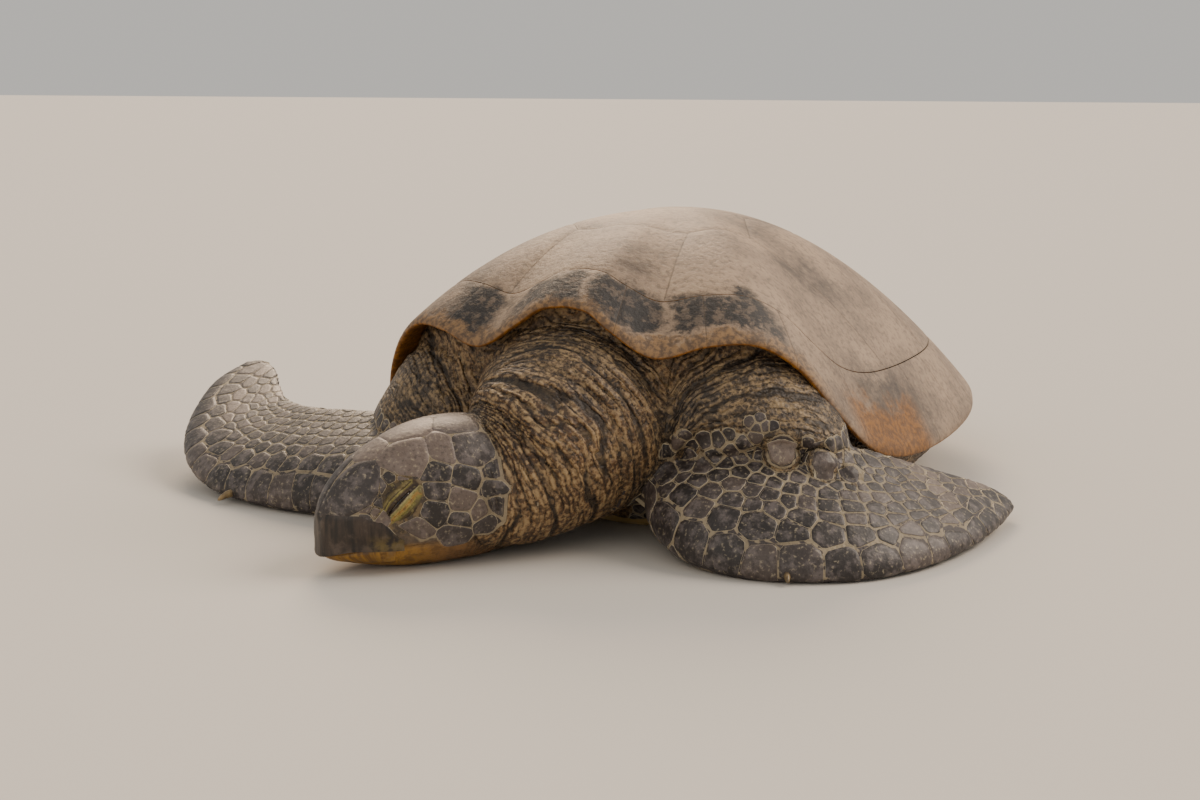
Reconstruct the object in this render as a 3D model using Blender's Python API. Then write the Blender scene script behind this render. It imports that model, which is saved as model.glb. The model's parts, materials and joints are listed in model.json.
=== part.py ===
"""A resting green sea turtle, life size, as the solids of a still museum model.

Metres, +Z up. The turtle faces -Y, its left side is +X, and it lies on the floor
at z = 0 with its head turned to its right. The shell is a dome over a closed rim
line, tiled with horn plates along named seams. Neck, limbs and tail are lofts, and
each solid is trimmed by its neighbours so that a thin gap parts them.
"""

import math

import bmesh
import bpy
import numpy as np
from mathutils import Matrix, Vector
from mathutils.geometry import delaunay_2d_cdt

# ------------------------------------------------------------------ clearances
GAP = 0.0003              # between neighbouring solids
SEAM = 0.0002             # each plate stands back this far from its seam
FLOOR_REACH = 2.0         # half width of the block that trims what would sink below the floor
SHELL_FACTOR_LIMIT = 1.6  # how much farther than its faces a sharp corner of a cutter may move

# ----------------------------------------------------------------------- shell
SHELL_TOP = 0.350
APEX = (0.0, -0.080)      # plan position of the highest point
PLATE_THICK = 0.009       # horn plate with the bone it is bonded to
RING = 0.83               # the marginal plates start at this share of the radius
# Cross-section of the marginal ring: share of the radius, depth below the dome.
RING_REACH = 0.3          # typical radius there, to turn a gap into a share of the radius
RING_TOP = [(RING, 0.0), (0.915, 0.0), (0.985, 0.0), (1.0, 0.004)]
RING_UNDER = [(0.985, 0.010), (0.93, 0.014), (RING, 0.016)]
# Rim line of the left half, front to back: x, y and height of the shell's edge.
RIM = [
    (0.000, -0.438, 0.268), (0.032, -0.444, 0.263), (0.062, -0.447, 0.243), (0.110, -0.442, 0.216),
    (0.165, -0.424, 0.230), (0.215, -0.396, 0.230), (0.257, -0.367, 0.201), (0.290, -0.334, 0.150),
    (0.316, -0.284, 0.102), (0.334, -0.205, 0.079), (0.348, -0.090, 0.074), (0.351, 0.040, 0.079),
    (0.336, 0.150, 0.085), (0.300, 0.255, 0.090), (0.222, 0.352, 0.092), (0.120, 0.420, 0.091),
    (0.050, 0.449, 0.090), (0.000, 0.442, 0.091),
]
# How the dome falls from the apex to the rim: share of the rim line, exponent.
DOME_FALL = [(0.0, 2.8), (0.12, 2.6), (0.30, 2.25), (0.50, 2.15), (0.75, 1.8), (1.0, 1.6)]
MARGINALS = 12            # marginal plates on each side
RING_STEPS = 4            # facets along each marginal plate
NUCHAL_SHARE = 0.05       # half width of the nuchal plate, as a share of the rim line
# The costal plates meet the ring at the middle of these marginal plates.
COSTAL_MARGINALS = (1, 5, 7, 9, 11)
# Seams between the vertebral plates: half width, y.
VERTEBRAL_SEAMS = [(0.072, -0.245), (0.082, -0.075), (0.072, 0.090), (0.048, 0.232)]
# Side corners of the second to fourth vertebral plates, where costal seams start.
VERTEBRAL_CORNERS = [(0.122, -0.165), (0.126, 0.005), (0.106, 0.165)]
SEAM_STEP = 0.040         # facet length along a seam
FIELD_STEP = 0.055        # facet size inside a plate
ROW_STEP = FIELD_STEP * 0.87   # between rows of an even triangle field
FIELD_CLEAR = FIELD_STEP * 0.55   # least distance from a facet corner inside a plate to its outline
SHARPEST = 0.4            # cosine that limits how far a sharp outline corner is moved in

# ------------------------------------------------------------ trunk and plastron
PLASTRON_THICK = 0.014
PLASTRON_TOP_SHARE, PLASTRON_BOTTOM_SHARE = 0.80, 0.74
FLANK_SHARE, FLANK_DROP = 0.92, 0.60   # the belly wall's bulge between rim and plastron

# ----------------------------------------------------- lofts of oval section
# Centre x, y, z, half width across, half height.
NECK = [
    (0.000, -0.300, 0.145, 0.115, 0.085), (0.000, -0.380, 0.135, 0.130, 0.112),
    (-0.002, -0.430, 0.124, 0.122, 0.108), (-0.012, -0.472, 0.107, 0.104, 0.100),
    (-0.028, -0.502, 0.088, 0.088, 0.084), (-0.044, -0.526, 0.078, 0.078, 0.072),
    (-0.060, -0.548, 0.074, 0.068, 0.062),
]
LEFT_ARM = [
    (0.085, -0.260, 0.150, 0.090, 0.080), (0.142, -0.312, 0.142, 0.106, 0.092),
    (0.186, -0.350, 0.130, 0.108, 0.088), (0.214, -0.378, 0.112, 0.100, 0.070),
    (0.222, -0.396, 0.094, 0.076, 0.046),
]
RIGHT_ARM = [
    (-0.085, -0.260, 0.150, 0.090, 0.080), (-0.145, -0.308, 0.140, 0.105, 0.090),
    (-0.195, -0.342, 0.120, 0.105, 0.084), (-0.232, -0.366, 0.094, 0.086, 0.062),
    (-0.258, -0.382, 0.074, 0.064, 0.042),
]
LEFT_THIGH = [
    (0.100, 0.230, 0.070, 0.065, 0.045), (0.130, 0.300, 0.058, 0.066, 0.044),
    (0.145, 0.360, 0.044, 0.060, 0.036), (0.150, 0.400, 0.034, 0.052, 0.026),
]
TAIL = [
    (0.000, 0.300, 0.060, 0.050, 0.040), (0.000, 0.370, 0.046, 0.036, 0.032),
    (0.000, 0.430, 0.030, 0.023, 0.021), (0.000, 0.476, 0.018, 0.010, 0.010),
]
# Flipper blades: leading edge x, y, z, trailing edge x, y, z, thickness.
LEFT_BLADE = [
    (0.118, -0.395, 0.050, 0.175, -0.325, 0.100, 0.050),
    (0.108, -0.448, 0.030, 0.190, -0.350, 0.118, 0.070),
    (0.165, -0.502, 0.012, 0.230, -0.352, 0.130, 0.068),
    (0.235, -0.520, 0.004, 0.272, -0.348, 0.126, 0.056),
    (0.305, -0.510, 0.004, 0.306, -0.333, 0.114, 0.042),
    (0.368, -0.470, 0.004, 0.338, -0.302, 0.099, 0.031),
    (0.412, -0.400, 0.006, 0.364, -0.255, 0.080, 0.023),
    (0.438, -0.310, 0.008, 0.390, -0.203, 0.060, 0.017),
    (0.448, -0.220, 0.010, 0.418, -0.158, 0.040, 0.012),
    (0.448, -0.150, 0.012, 0.434, -0.135, 0.023, 0.008),
]
RIGHT_BLADE = [
    (-0.190, -0.440, 0.040, -0.180, -0.350, 0.090, 0.046),
    (-0.250, -0.475, 0.018, -0.240, -0.345, 0.104, 0.060),
    (-0.325, -0.476, 0.008, -0.315, -0.330, 0.104, 0.056),
    (-0.405, -0.466, 0.008, -0.392, -0.318, 0.100, 0.044),
    (-0.480, -0.444, 0.012, -0.448, -0.292, 0.096, 0.034),
    (-0.545, -0.402, 0.026, -0.486, -0.264, 0.096, 0.027),
    (-0.596, -0.342, 0.046, -0.512, -0.234, 0.098, 0.021),
    (-0.632, -0.268, 0.070, -0.537, -0.204, 0.104, 0.016),
    (-0.652, -0.196, 0.092, -0.566, -0.168, 0.112, 0.012),
    (-0.640, -0.140, 0.110, -0.602, -0.136, 0.118, 0.008),
]
LEFT_FOOT = [
    (0.205, 0.385, 0.016, 0.095, 0.375, 0.024, 0.044),
    (0.222, 0.440, 0.012, 0.088, 0.425, 0.018, 0.030),
    (0.230, 0.495, 0.009, 0.084, 0.475, 0.012, 0.020),
    (0.226, 0.550, 0.007, 0.092, 0.520, 0.008, 0.013),
    (0.204, 0.590, 0.006, 0.117, 0.560, 0.006, 0.010),
    (0.170, 0.602, 0.005, 0.146, 0.590, 0.005, 0.008),
]
# Claw on each blade's leading edge: base, tip.
LEFT_CLAW = ((0.286, -0.508, 0.009), (0.294, -0.526, 0.005))
RIGHT_CLAW = ((-0.440, -0.456, 0.012), (-0.450, -0.474, 0.007))
CLAW_RADIUS, CLAW_SIDES = 0.005, 8
CLAW_TAPER = ((0, 1), (0.4, 0.85), (0.8, 0.45), (1, 0.12))   # share of the length, of the radius
# Facets round and rows along each loft.
ROUND_SIDES, BLADE_SIDES, HEAD_SIDES, TAIL_SIDES = 16, 12, 16, 12
NECK_ROWS, ARM_ROWS, BLADE_ROWS, THIGH_ROWS, FOOT_ROWS, TAIL_ROWS, SKULL_ROWS = 12, 10, 17, 7, 8, 7, 16
BLADE_FULLNESS = 0.30     # where along the chord a blade is thickest
MIN_EDGE = 0.004          # thickness of a blade at its edges

# ------------------------------------------------------------------------ head
HEAD_REAR = (-0.038, -0.486)      # plan position of the back of the skull
HEAD_TURN = math.radians(36)      # from straight ahead towards the turtle's right
# Along the head: distance, half width, crown height, widest height, jaw line height.
SKULL = [
    (0.000, 0.062, 0.138, 0.068, 0.012), (0.040, 0.073, 0.152, 0.069, 0.002),
    (0.085, 0.076, 0.155, 0.068, -0.001), (0.124, 0.071, 0.149, 0.066, -0.002),
    (0.157, 0.062, 0.137, 0.062, 0.000), (0.184, 0.051, 0.123, 0.057, 0.004),
    (0.206, 0.039, 0.107, 0.052, 0.008), (0.222, 0.027, 0.089, 0.047, 0.013),
    (0.231, 0.015, 0.072, 0.043, 0.020),
]
HEAD_LONG = SKULL[-1][0]
JAW_FULLNESS = 0.74       # the underside's width as a share of the head's
EYE_AT, EYE_RADIUS = (0.1565, 0.0395, 0.0758), 0.0235
EYE_ROWS, EYE_SIDES = 6, 10
# Exponents that square the head's sections: across and up above the middle, then below it.
CHEEK_POWERS = ((0.85, 0.9), (0.6, 0.7))
BEAK_REAR, MOUTH_REAR = 0.186, 0.110
MOUTH_FRONT_HEIGHT, MOUTH_REAR_HEIGHT = 0.024, 0.032
WEDGE_LONG, WEDGE_HALF, WEDGE_HIGH = 0.4, 0.2, 0.5   # the mouth helpers reach past the head

COLOURS = {
    "plate": (0.16, 0.12, 0.08), "hide": (0.20, 0.14, 0.08), "belly": (0.62, 0.50, 0.28),
    "scaled": (0.09, 0.07, 0.06), "horn": (0.10, 0.085, 0.07), "lid": (0.36, 0.27, 0.12),
}


# -------------------------------------------------------------- smooth curves
def spline(rows, count):
    """Points evenly spaced in parameter on a Catmull-Rom curve through rows."""
    rows = np.array(rows, float)
    ends = np.vstack([2 * rows[0] - rows[1], rows, 2 * rows[-1] - rows[-2]])
    out = []
    for place in np.linspace(0, len(rows) - 1, count):
        i = min(int(place), len(rows) - 2)
        t = place - i
        a, b, c, d = ends[i:i + 4]
        out.append(0.5 * (2 * b + (c - a) * t + (2 * a - 5 * b + 4 * c - d) * t * t
                          + (3 * b - 3 * c + d - a) * t ** 3))
    return np.array(out)


class Rim:
    """The shell's edge line, looked up by share of its length or by bearing."""

    SAMPLES = 600

    def __init__(self):
        line = spline(RIM, self.SAMPLES)
        run = np.concatenate([[0], np.cumsum(np.linalg.norm(np.diff(line[:, :2], axis=0), axis=1))])
        self.line = line
        self.length = run[-1]
        self.share = run / self.length
        self.bearing = np.unwrap(np.arctan2(line[:, 0] - APEX[0], APEX[1] - line[:, 1]))

    def at(self, share):
        return np.array([np.interp(share, self.share, self.line[:, k]) for k in range(3)])

    def share_of(self, x, y):
        return float(np.interp(math.atan2(abs(x), APEX[1] - y), self.bearing, self.share))


RIM_LINE = Rim()
FALL_AT, FALL_POWER = spline(DOME_FALL, 200).T


def dome(x, y):
    """Height of the shell over a plan point."""
    edge = RIM_LINE.at(RIM_LINE.share_of(x, y))
    reach = math.dist((edge[0], edge[1]), APEX)
    rho = math.dist((abs(x), y), APEX) / reach
    power = np.interp(RIM_LINE.share_of(x, y), FALL_AT, FALL_POWER)
    return edge[2] + (SHELL_TOP - edge[2]) * (1 - rho ** power)


def dome_normal(x, y):
    step = 0.004
    slope_x = (dome(x + step, y) - dome(x - step, y)) / (2 * step)
    slope_y = (dome(x, y + step) - dome(x, y - step)) / (2 * step)
    return Vector((-slope_x, -slope_y, 1)).normalized()


def below_dome(x, y, depth):
    """The point this far under the shell's surface, along its normal."""
    return Vector((x, y, dome(x, y))) - dome_normal(x, y) * depth


def ring_plan(share, rho, side=1):
    edge = RIM_LINE.at(share)
    return side * rho * edge[0], APEX[1] + rho * (edge[1] - APEX[1])


# ------------------------------------------------------------- mesh utilities
def material(name, colour):
    made = bpy.data.materials.new(name)
    made.use_nodes = True
    shader = made.node_tree.nodes["Principled BSDF"]
    shader.inputs["Base Color"].default_value = (*colour, 1)
    shader.inputs["Roughness"].default_value = 0.6
    return made


def solid(name, points, faces, colour=None):
    """A mesh object; with a colour it is a finished part, without one a helper."""
    mesh = bpy.data.meshes.new(name)
    mesh.from_pydata([tuple(p) for p in points], [], faces)
    shape = bmesh.new()
    shape.from_mesh(mesh)
    bmesh.ops.recalc_face_normals(shape, faces=shape.faces)
    bmesh.ops.triangulate(shape, faces=shape.faces)
    shape.to_mesh(mesh)
    shape.free()
    made = bpy.data.objects.new(name, mesh)
    bpy.context.collection.objects.link(made)
    if colour:
        mesh.materials.append(material(name, COLOURS[colour]))
    else:
        made.hide_render = True
        made.display_type = "WIRE"
    return made


def tube(rings):
    """Points and faces of a closed tube through rings of equal length."""
    sides = len(rings[0])
    points = [tuple(p) for ring in rings for p in ring]
    faces = []
    for row in range(len(rings) - 1):
        for k in range(sides):
            a, b = row * sides + k, row * sides + (k + 1) % sides
            faces.append((a, b, b + sides, a + sides))
    for ring, first in ((rings[0], 0), (rings[-1], (len(rings) - 1) * sides)):
        points.append(tuple(np.mean(np.array(ring), axis=0)))
        for k in range(sides):
            faces.append((len(points) - 1, first + (k + 1) % sides, first + k))
    return points, faces


def apply_boolean(target, other, operation):
    """Changes target by an exact Boolean and keeps the result as its mesh."""
    modifier = target.modifiers.new("cut", "BOOLEAN")
    modifier.operation = operation
    modifier.solver = "EXACT"
    modifier.object = other
    bpy.context.view_layer.update()
    result = bpy.data.meshes.new_from_object(
        target.evaluated_get(bpy.context.evaluated_depsgraph_get()))
    target.modifiers.remove(modifier)
    result.name = target.name
    while len(result.materials) > 1:
        result.materials.pop()
    target.data = result


def grown(source, distance):
    """A helper copy of a solid, its surface moved out by distance."""
    shape = bmesh.new()
    shape.from_mesh(source.data)
    bmesh.ops.remove_doubles(shape, verts=shape.verts, dist=1e-6)
    bmesh.ops.recalc_face_normals(shape, faces=shape.faces)
    shape.normal_update()
    moved = [vertex.co + vertex.normal * distance * min(vertex.calc_shell_factor(), SHELL_FACTOR_LIMIT)
             for vertex in shape.verts]
    for vertex, place in zip(shape.verts, moved):
        vertex.co = place
    mesh = bpy.data.meshes.new(source.name + "_grown")
    shape.to_mesh(mesh)
    shape.free()
    made = bpy.data.objects.new(source.name + "_grown", mesh)
    bpy.context.collection.objects.link(made)
    made.hide_render = True
    made.display_type = "WIRE"
    return made


def trim(target, neighbours):
    """Cuts from target what its neighbours take, with the gap between them."""
    for neighbour in neighbours:
        cutter = grown(neighbour, GAP)
        apply_boolean(target, cutter, "DIFFERENCE")
        bpy.data.objects.remove(cutter)
    keep_largest(target)


def keep_largest(target):
    """Drops every loose piece of target but the one with the largest volume."""
    shape = bmesh.new()
    shape.from_mesh(target.data)
    shape.faces.ensure_lookup_table()
    left, groups = set(shape.faces), []
    while left:
        stack, group = [left.pop()], set()
        while stack:
            face = stack.pop()
            group.add(face)
            for edge in face.edges:
                for other in edge.link_faces:
                    if other in left:
                        left.remove(other)
                        stack.append(other)
        groups.append(group)
    groups.sort(key=lambda group: sum(face.calc_area() for face in group), reverse=True)
    spare = [face for group in groups[1:] for face in group]
    bmesh.ops.delete(shape, geom=spare, context="FACES")
    shape.to_mesh(target.data)
    shape.free()


def rest_on_floor(target):
    """Trims what would sink below the floor, leaving a flat."""
    corners = [(x, y, z) for x in (-FLOOR_REACH, FLOOR_REACH) for y in (-FLOOR_REACH, FLOOR_REACH)
               for z in (-FLOOR_REACH, 0)]
    faces = [(0, 1, 3, 2), (4, 6, 7, 5), (0, 4, 5, 1), (2, 3, 7, 6), (0, 2, 6, 4), (1, 5, 7, 3)]
    floor = solid("floor_cut", corners, faces)
    apply_boolean(target, floor, "DIFFERENCE")
    bpy.data.objects.remove(floor)


# ----------------------------------------------------------------- horn plates
def marginal_seam(index):
    """Share of the rim line where a marginal plate starts, counting from 0."""
    return NUCHAL_SHARE + (1 - NUCHAL_SHARE) * index / MARGINALS


def ring_shares(first, last):
    """The ring's facet ends from marginal seam first to last, which may be halves."""
    count = round((last - first) * RING_STEPS)
    return [marginal_seam(first + k / RING_STEPS) for k in range(count + 1)]


def plan_line(start, end):
    """A straight seam between two plan points, in facets, without its last point."""
    count = max(1, round(math.dist(start, end) / SEAM_STEP))
    return [tuple(np.add(start, np.multiply(np.subtract(end, start), k / count)))
            for k in range(count)]


def ring_line(shares, side=1):
    return [ring_plan(share, RING, side) for share in shares]


def mirrored(outline):
    return [(-x, y) for x, y in reversed(outline)]


def nuchal_shares():
    return [NUCHAL_SHARE * k / 2 for k in range(3)]


def plate_outlines():
    """Plan outline of each vertebral and costal plate, counter-clockwise."""
    middles = [index - 0.5 for index in COSTAL_MARGINALS]
    starts = [ring_plan(marginal_seam(middle), RING) for middle in middles]
    seams, corners = VERTEBRAL_SEAMS, VERTEBRAL_CORNERS
    flip = [(-x, y) for x, y in seams], [(-x, y) for x, y in corners]
    front = nuchal_shares() + ring_shares(0, middles[0])[1:]
    rear = ring_shares(middles[4], MARGINALS)
    plates = {}
    half = ring_line(front)[:-1] + plan_line(starts[0], seams[0])
    plates["vertebral_scute_1"] = (
        half + plan_line(seams[0], flip[0][0]) + [flip[0][0]] + mirrored(half)[:-1])
    for index in range(3):
        a, b, c = seams[index], corners[index], seams[index + 1]
        right_a, right_b, right_c = flip[0][index], flip[1][index], flip[0][index + 1]
        plates[f"vertebral_scute_{index + 2}"] = (
            plan_line(right_a, a) + plan_line(a, b) + plan_line(b, c) + plan_line(c, right_c)
            + plan_line(right_c, right_b) + plan_line(right_b, right_a))
    half = plan_line(seams[3], starts[4]) + ring_line(rear)
    plates["vertebral_scute_5"] = plan_line(flip[0][3], seams[3]) + half + mirrored(half)[1:-1]
    for index in range(4):
        outline = ring_line(ring_shares(middles[index], middles[index + 1]))[:-1]
        path = [starts[index + 1]]
        path += [corners[index]] if index < 3 else []
        path += [seams[index]] if index < 3 else [seams[3]]
        path += [corners[index - 1]] if index > 0 else []
        path += [starts[index]]
        for start, end in zip(path, path[1:]):
            outline += plan_line(start, end)
        plates[f"costal_scute_left_{index + 1}"] = outline
        plates[f"costal_scute_right_{index + 1}"] = mirrored(outline)
    return plates


def inside(point, outline):
    """Whether a plan point lies in an outline."""
    hit = False
    for (x1, y1), (x2, y2) in zip(outline, outline[1:] + outline[:1]):
        if (y1 > point[1]) != (y2 > point[1]):
            if point[0] < x1 + (x2 - x1) * (point[1] - y1) / (y2 - y1):
                hit = not hit
    return hit


def field_points(outline):
    """Interior facet corners of a plate, clear of its outline."""
    span = np.array(outline)
    found = []
    for row, y in enumerate(np.arange(span[:, 1].min(), span[:, 1].max(), ROW_STEP)):
        shift = FIELD_STEP / 2 * (row % 2)
        for k in range(-8, 9):
            point = (k * FIELD_STEP + shift, y)
            if inside(point, outline):
                if min(math.dist(point, other) for other in outline) > FIELD_CLEAR:
                    found.append(point)
    return found


def tiled(outline):
    """Triangles over an outline with its interior points, as plan points and faces."""
    points = outline + field_points(outline)
    ring = list(range(len(outline)))
    edges = list(zip(ring, ring[1:] + ring[:1]))
    corners, _, faces, source, _, _ = delaunay_2d_cdt(
        [Vector(point) for point in points], edges, [], 1, 1e-7)
    order = [origin[0] for origin in source]
    return points, [tuple(order[k] for k in face) for face in faces]


def set_back(outline, distance):
    """An outline moved inwards, corner by corner."""
    moved = []
    count = len(outline)
    for k, here in enumerate(outline):
        before, after = Vector(outline[k - 1]), Vector(outline[(k + 1) % count])
        into, out = (Vector(here) - before).normalized(), (after - Vector(here)).normalized()
        first, second = Vector((-into.y, into.x)), Vector((-out.y, out.x))
        middle = (first + second).normalized()
        moved.append(tuple(Vector(here) + middle * distance / max(middle.dot(first), SHARPEST)))
    return moved


def oriented(outline):
    """The same outline, counter-clockwise."""
    area = sum(x1 * y2 - x2 * y1
               for (x1, y1), (x2, y2) in zip(outline, outline[1:] + outline[:1]))
    return outline if area > 0 else outline[::-1]


def plate(name, outline):
    """One horn plate: its outline cut from the dome, to the plates' thickness."""
    points, faces = tiled(outline)
    inner = set_back(outline, SEAM) + points[len(outline):]
    count = len(inner)
    top = [Vector((x, y, dome(x, y))) for x, y in inner]
    bottom = [high - dome_normal(x, y) * PLATE_THICK for high, (x, y) in zip(top, points)]
    shell = [tuple(face) for face in faces]
    shell += [tuple(k + count for k in reversed(face)) for face in faces]
    # Plates that share a seam split its wall along the same diagonal.
    for k in range(len(outline)):
        after = (k + 1) % len(outline)
        if outline[k] < outline[after]:
            shell += [(k, k + count, after + count), (k, after + count, after)]
        else:
            shell += [(k, k + count, after), (k + count, after + count, after)]
    return solid(name, top + bottom, shell, "plate")


def ring_section(share, side):
    """Points round one cross-section of the marginal ring, its inner wall set back."""
    section = []
    for rho, depth in RING_TOP + RING_UNDER:
        clear = SEAM / RING_REACH if rho == RING else 0
        section.append(below_dome(*ring_plan(share, rho + clear, side), depth))
    return section


def marginal(name, shares, side):
    """One plate of the marginal ring: top, edge and underside."""
    back = SEAM / RIM_LINE.length
    ends = [shares[0] + back, *shares[1:-1], shares[-1] - back]
    return solid(name, *tube([ring_section(share, side) for share in ends]), "plate")


def nuchal():
    """The ring's one middle plate, over the neck."""
    shares = nuchal_shares()
    shares[-1] -= SEAM / RIM_LINE.length
    sections = [ring_section(share, -1) for share in reversed(shares[1:])]
    sections += [ring_section(share, 1) for share in shares]
    return solid("nuchal_scute", *tube(sections), "plate")


# ------------------------------------------------------------- trunk and belly
def all_ring_shares():
    """The facet ends round the whole ring, right tail to left tail, as signed pairs."""
    half = nuchal_shares()[:-1] + ring_shares(0, MARGINALS)
    return [(share, 1) for share in half] + [(share, -1) for share in reversed(half[1:-1])]


def ring_points(rho, depth):
    return [below_dome(*ring_plan(share, rho, side), depth) for share, side in all_ring_shares()]


def trunk(outlines):
    """The body inside the shell: it follows the plates' underside down to the plastron."""
    points, faces, known = [], [], {}

    def corner(x, y):
        key = (round(x, 5), round(y, 5))
        if key not in known:
            known[key] = len(points)
            points.append(below_dome(x, y, PLATE_THICK + GAP))
        return known[key]

    for outline in outlines.values():
        plan, cells = tiled(outline)
        faces += [tuple(corner(*plan[k]) for k in cell) for cell in cells]
    clear = GAP / RING_REACH
    edge = [corner(*ring_plan(share, RING, side)) for share, side in all_ring_shares()]
    for index, point in zip(edge, ring_points(RING - clear, PLATE_THICK + GAP)):
        points[index] = point
    (outer_share, outer_depth), (_, inner_depth) = RING_UNDER[1:]
    brow = ring_points(outer_share, outer_depth + GAP)
    bulge, belly = [], []
    for (share, side), high in zip(all_ring_shares(), brow):
        height = PLASTRON_THICK + (high.z - PLASTRON_THICK) * FLANK_DROP
        bulge.append(Vector((*ring_plan(share, FLANK_SHARE, side), height)))
        belly.append(Vector((*ring_plan(share, PLASTRON_TOP_SHARE, side), PLASTRON_THICK + GAP)))
    rows = [edge]
    for ring in (ring_points(RING - clear, inner_depth + GAP), brow, bulge, belly):
        rows.append(list(range(len(points), len(points) + len(ring))))
        points += ring
    for upper, lower in zip(rows, rows[1:]):
        for k in range(len(upper)):
            after = (k + 1) % len(upper)
            faces.append((upper[k], upper[after], lower[after], lower[k]))
    faces.append(tuple(rows[-1]))
    return solid("trunk", points, faces, "hide")


def plastron():
    """The flat belly plate, its edge sloping in to the flat it rests on."""
    plan = all_ring_shares()
    levels = ((PLASTRON_TOP_SHARE, PLASTRON_THICK), (PLASTRON_TOP_SHARE, PLASTRON_THICK / 2),
              (PLASTRON_BOTTOM_SHARE, 0.0))
    rings = [[Vector((*ring_plan(share, rho, side), z)) for share, side in plan[::2]]
             for rho, z in levels]
    return solid("plastron", *tube(rings), "belly")


# ----------------------------------------------------------------------- limbs
def oval_loft(rows, count, sides=ROUND_SIDES):
    """Oval rings square to the path through the rows' centres."""
    table = spline(rows, count)
    rings = []
    for k, (x, y, z, wide, high) in enumerate(table):
        ahead = table[min(k + 1, count - 1)][:3] - table[max(k - 1, 0)][:3]
        along = Vector(ahead).normalized()
        across = along.cross(Vector((0, 0, 1))).normalized()
        up = across.cross(along)
        rings.append([Vector((x, y, z)) + across * wide * math.cos(a) + up * high * math.sin(a)
                      for a in (2 * math.pi * i / sides for i in range(sides))])
    return rings


def blade_loft(rows, count, sides=BLADE_SIDES):
    """Wing sections between a leading and a trailing edge."""
    table = spline(rows, count)
    rings = []
    for k, row in enumerate(table):
        lead, trail, thick = Vector(row[:3]), Vector(row[3:6]), max(row[6], MIN_EDGE)
        before, after = table[max(k - 1, 0)], table[min(k + 1, count - 1)]
        along = Vector((after[:3] + after[3:6]) - (before[:3] + before[3:6])).normalized()
        chord = trail - lead
        up = chord.cross(along).normalized()
        up = up if up.z > 0 else -up
        ring = []
        for i in range(sides):
            a = 2 * math.pi * i / sides
            place = 0.5 - 0.5 * math.cos(a)
            full = max(math.sin(math.pi * place ** (math.log(0.5) / math.log(BLADE_FULLNESS))), 0)
            half = 0.5 * (thick * full + MIN_EDGE * (1 - abs(2 * place - 1) ** 4))
            ring.append(lead + chord * place + up * math.copysign(half, math.sin(a))
                        * (abs(math.sin(a)) > 1e-6))
        rings.append(ring)
    return rings


def flip_x(rows, columns=(0,)):
    """Rows of a limb mirrored to the right side."""
    return [tuple(-v if k in columns else v for k, v in enumerate(row)) for row in rows]


# ------------------------------------------------------------------------ head
def head_matrix():
    """From head axes (+X forward, +Y its left, +Z up) to the body's."""
    turn = Matrix.Rotation(-math.pi / 2 - HEAD_TURN, 4, "Z")
    return Matrix.Translation((*HEAD_REAR, 0)) @ turn


def skull_rings(count, sides=HEAD_SIDES):
    """Rounded sections of the head, wider above the middle than along the jaw."""
    rings = []
    upper, lower = CHEEK_POWERS
    place = head_matrix()
    for along, wide, crown, middle, jaw in spline(SKULL, count):
        ring = []
        for i in range(sides):
            a = 2 * math.pi * i / sides
            c, s = math.cos(a), math.sin(a)
            if s >= 0:
                y = wide * math.copysign(abs(c) ** upper[0], c)
                z = middle + (crown - middle) * s ** upper[1]
            else:
                narrow = 1 - (1 - JAW_FULLNESS) * (-s) ** 1.5
                y = wide * narrow * math.copysign(abs(c) ** lower[0], c)
                z = middle - (middle - jaw) * (-s) ** lower[1]
            ring.append(place @ Vector((along, y, z)))
        rings.append(ring)
    return rings


def eye(side):
    """The closed eye: a ball whose lids stand a little proud of the face."""
    centre = head_matrix() @ Vector((EYE_AT[0], side * EYE_AT[1], EYE_AT[2]))
    rings = []
    for row in range(1, EYE_ROWS):
        polar = math.pi * row / EYE_ROWS
        turns = [2 * math.pi * i / EYE_SIDES for i in range(EYE_SIDES)]
        rings.append([centre + EYE_RADIUS * Vector((
            math.sin(polar) * math.cos(turn), math.sin(polar) * math.sin(turn), math.cos(polar)))
            for turn in turns])
    name = "eye_left" if side > 0 else "eye_right"
    return solid(name, *tube(rings), "lid")


def mouth_wedge(name, rear, above, grow):
    """A helper in front of rear, above or below the mouth line, grown by grow."""
    place = head_matrix()
    slope = (MOUTH_FRONT_HEIGHT - MOUTH_REAR_HEIGHT) / (HEAD_LONG - MOUTH_REAR)
    line = [(x, MOUTH_REAR_HEIGHT + slope * (x - MOUTH_REAR)) for x in (rear - grow, WEDGE_LONG)]
    far = WEDGE_HIGH if above else -WEDGE_HIGH
    lift = -grow if above else grow
    points = []
    for y in (-WEDGE_HALF, WEDGE_HALF):
        points += [place @ Vector((x, y, z + lift)) for x, z in line]
        points += [place @ Vector((x, y, far)) for x, _ in reversed(line)]
    faces = [(0, 1, 2, 3), (7, 6, 5, 4), (0, 4, 5, 1), (1, 5, 6, 2), (2, 6, 7, 3), (3, 7, 4, 0)]
    return solid(name, points, faces)


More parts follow.
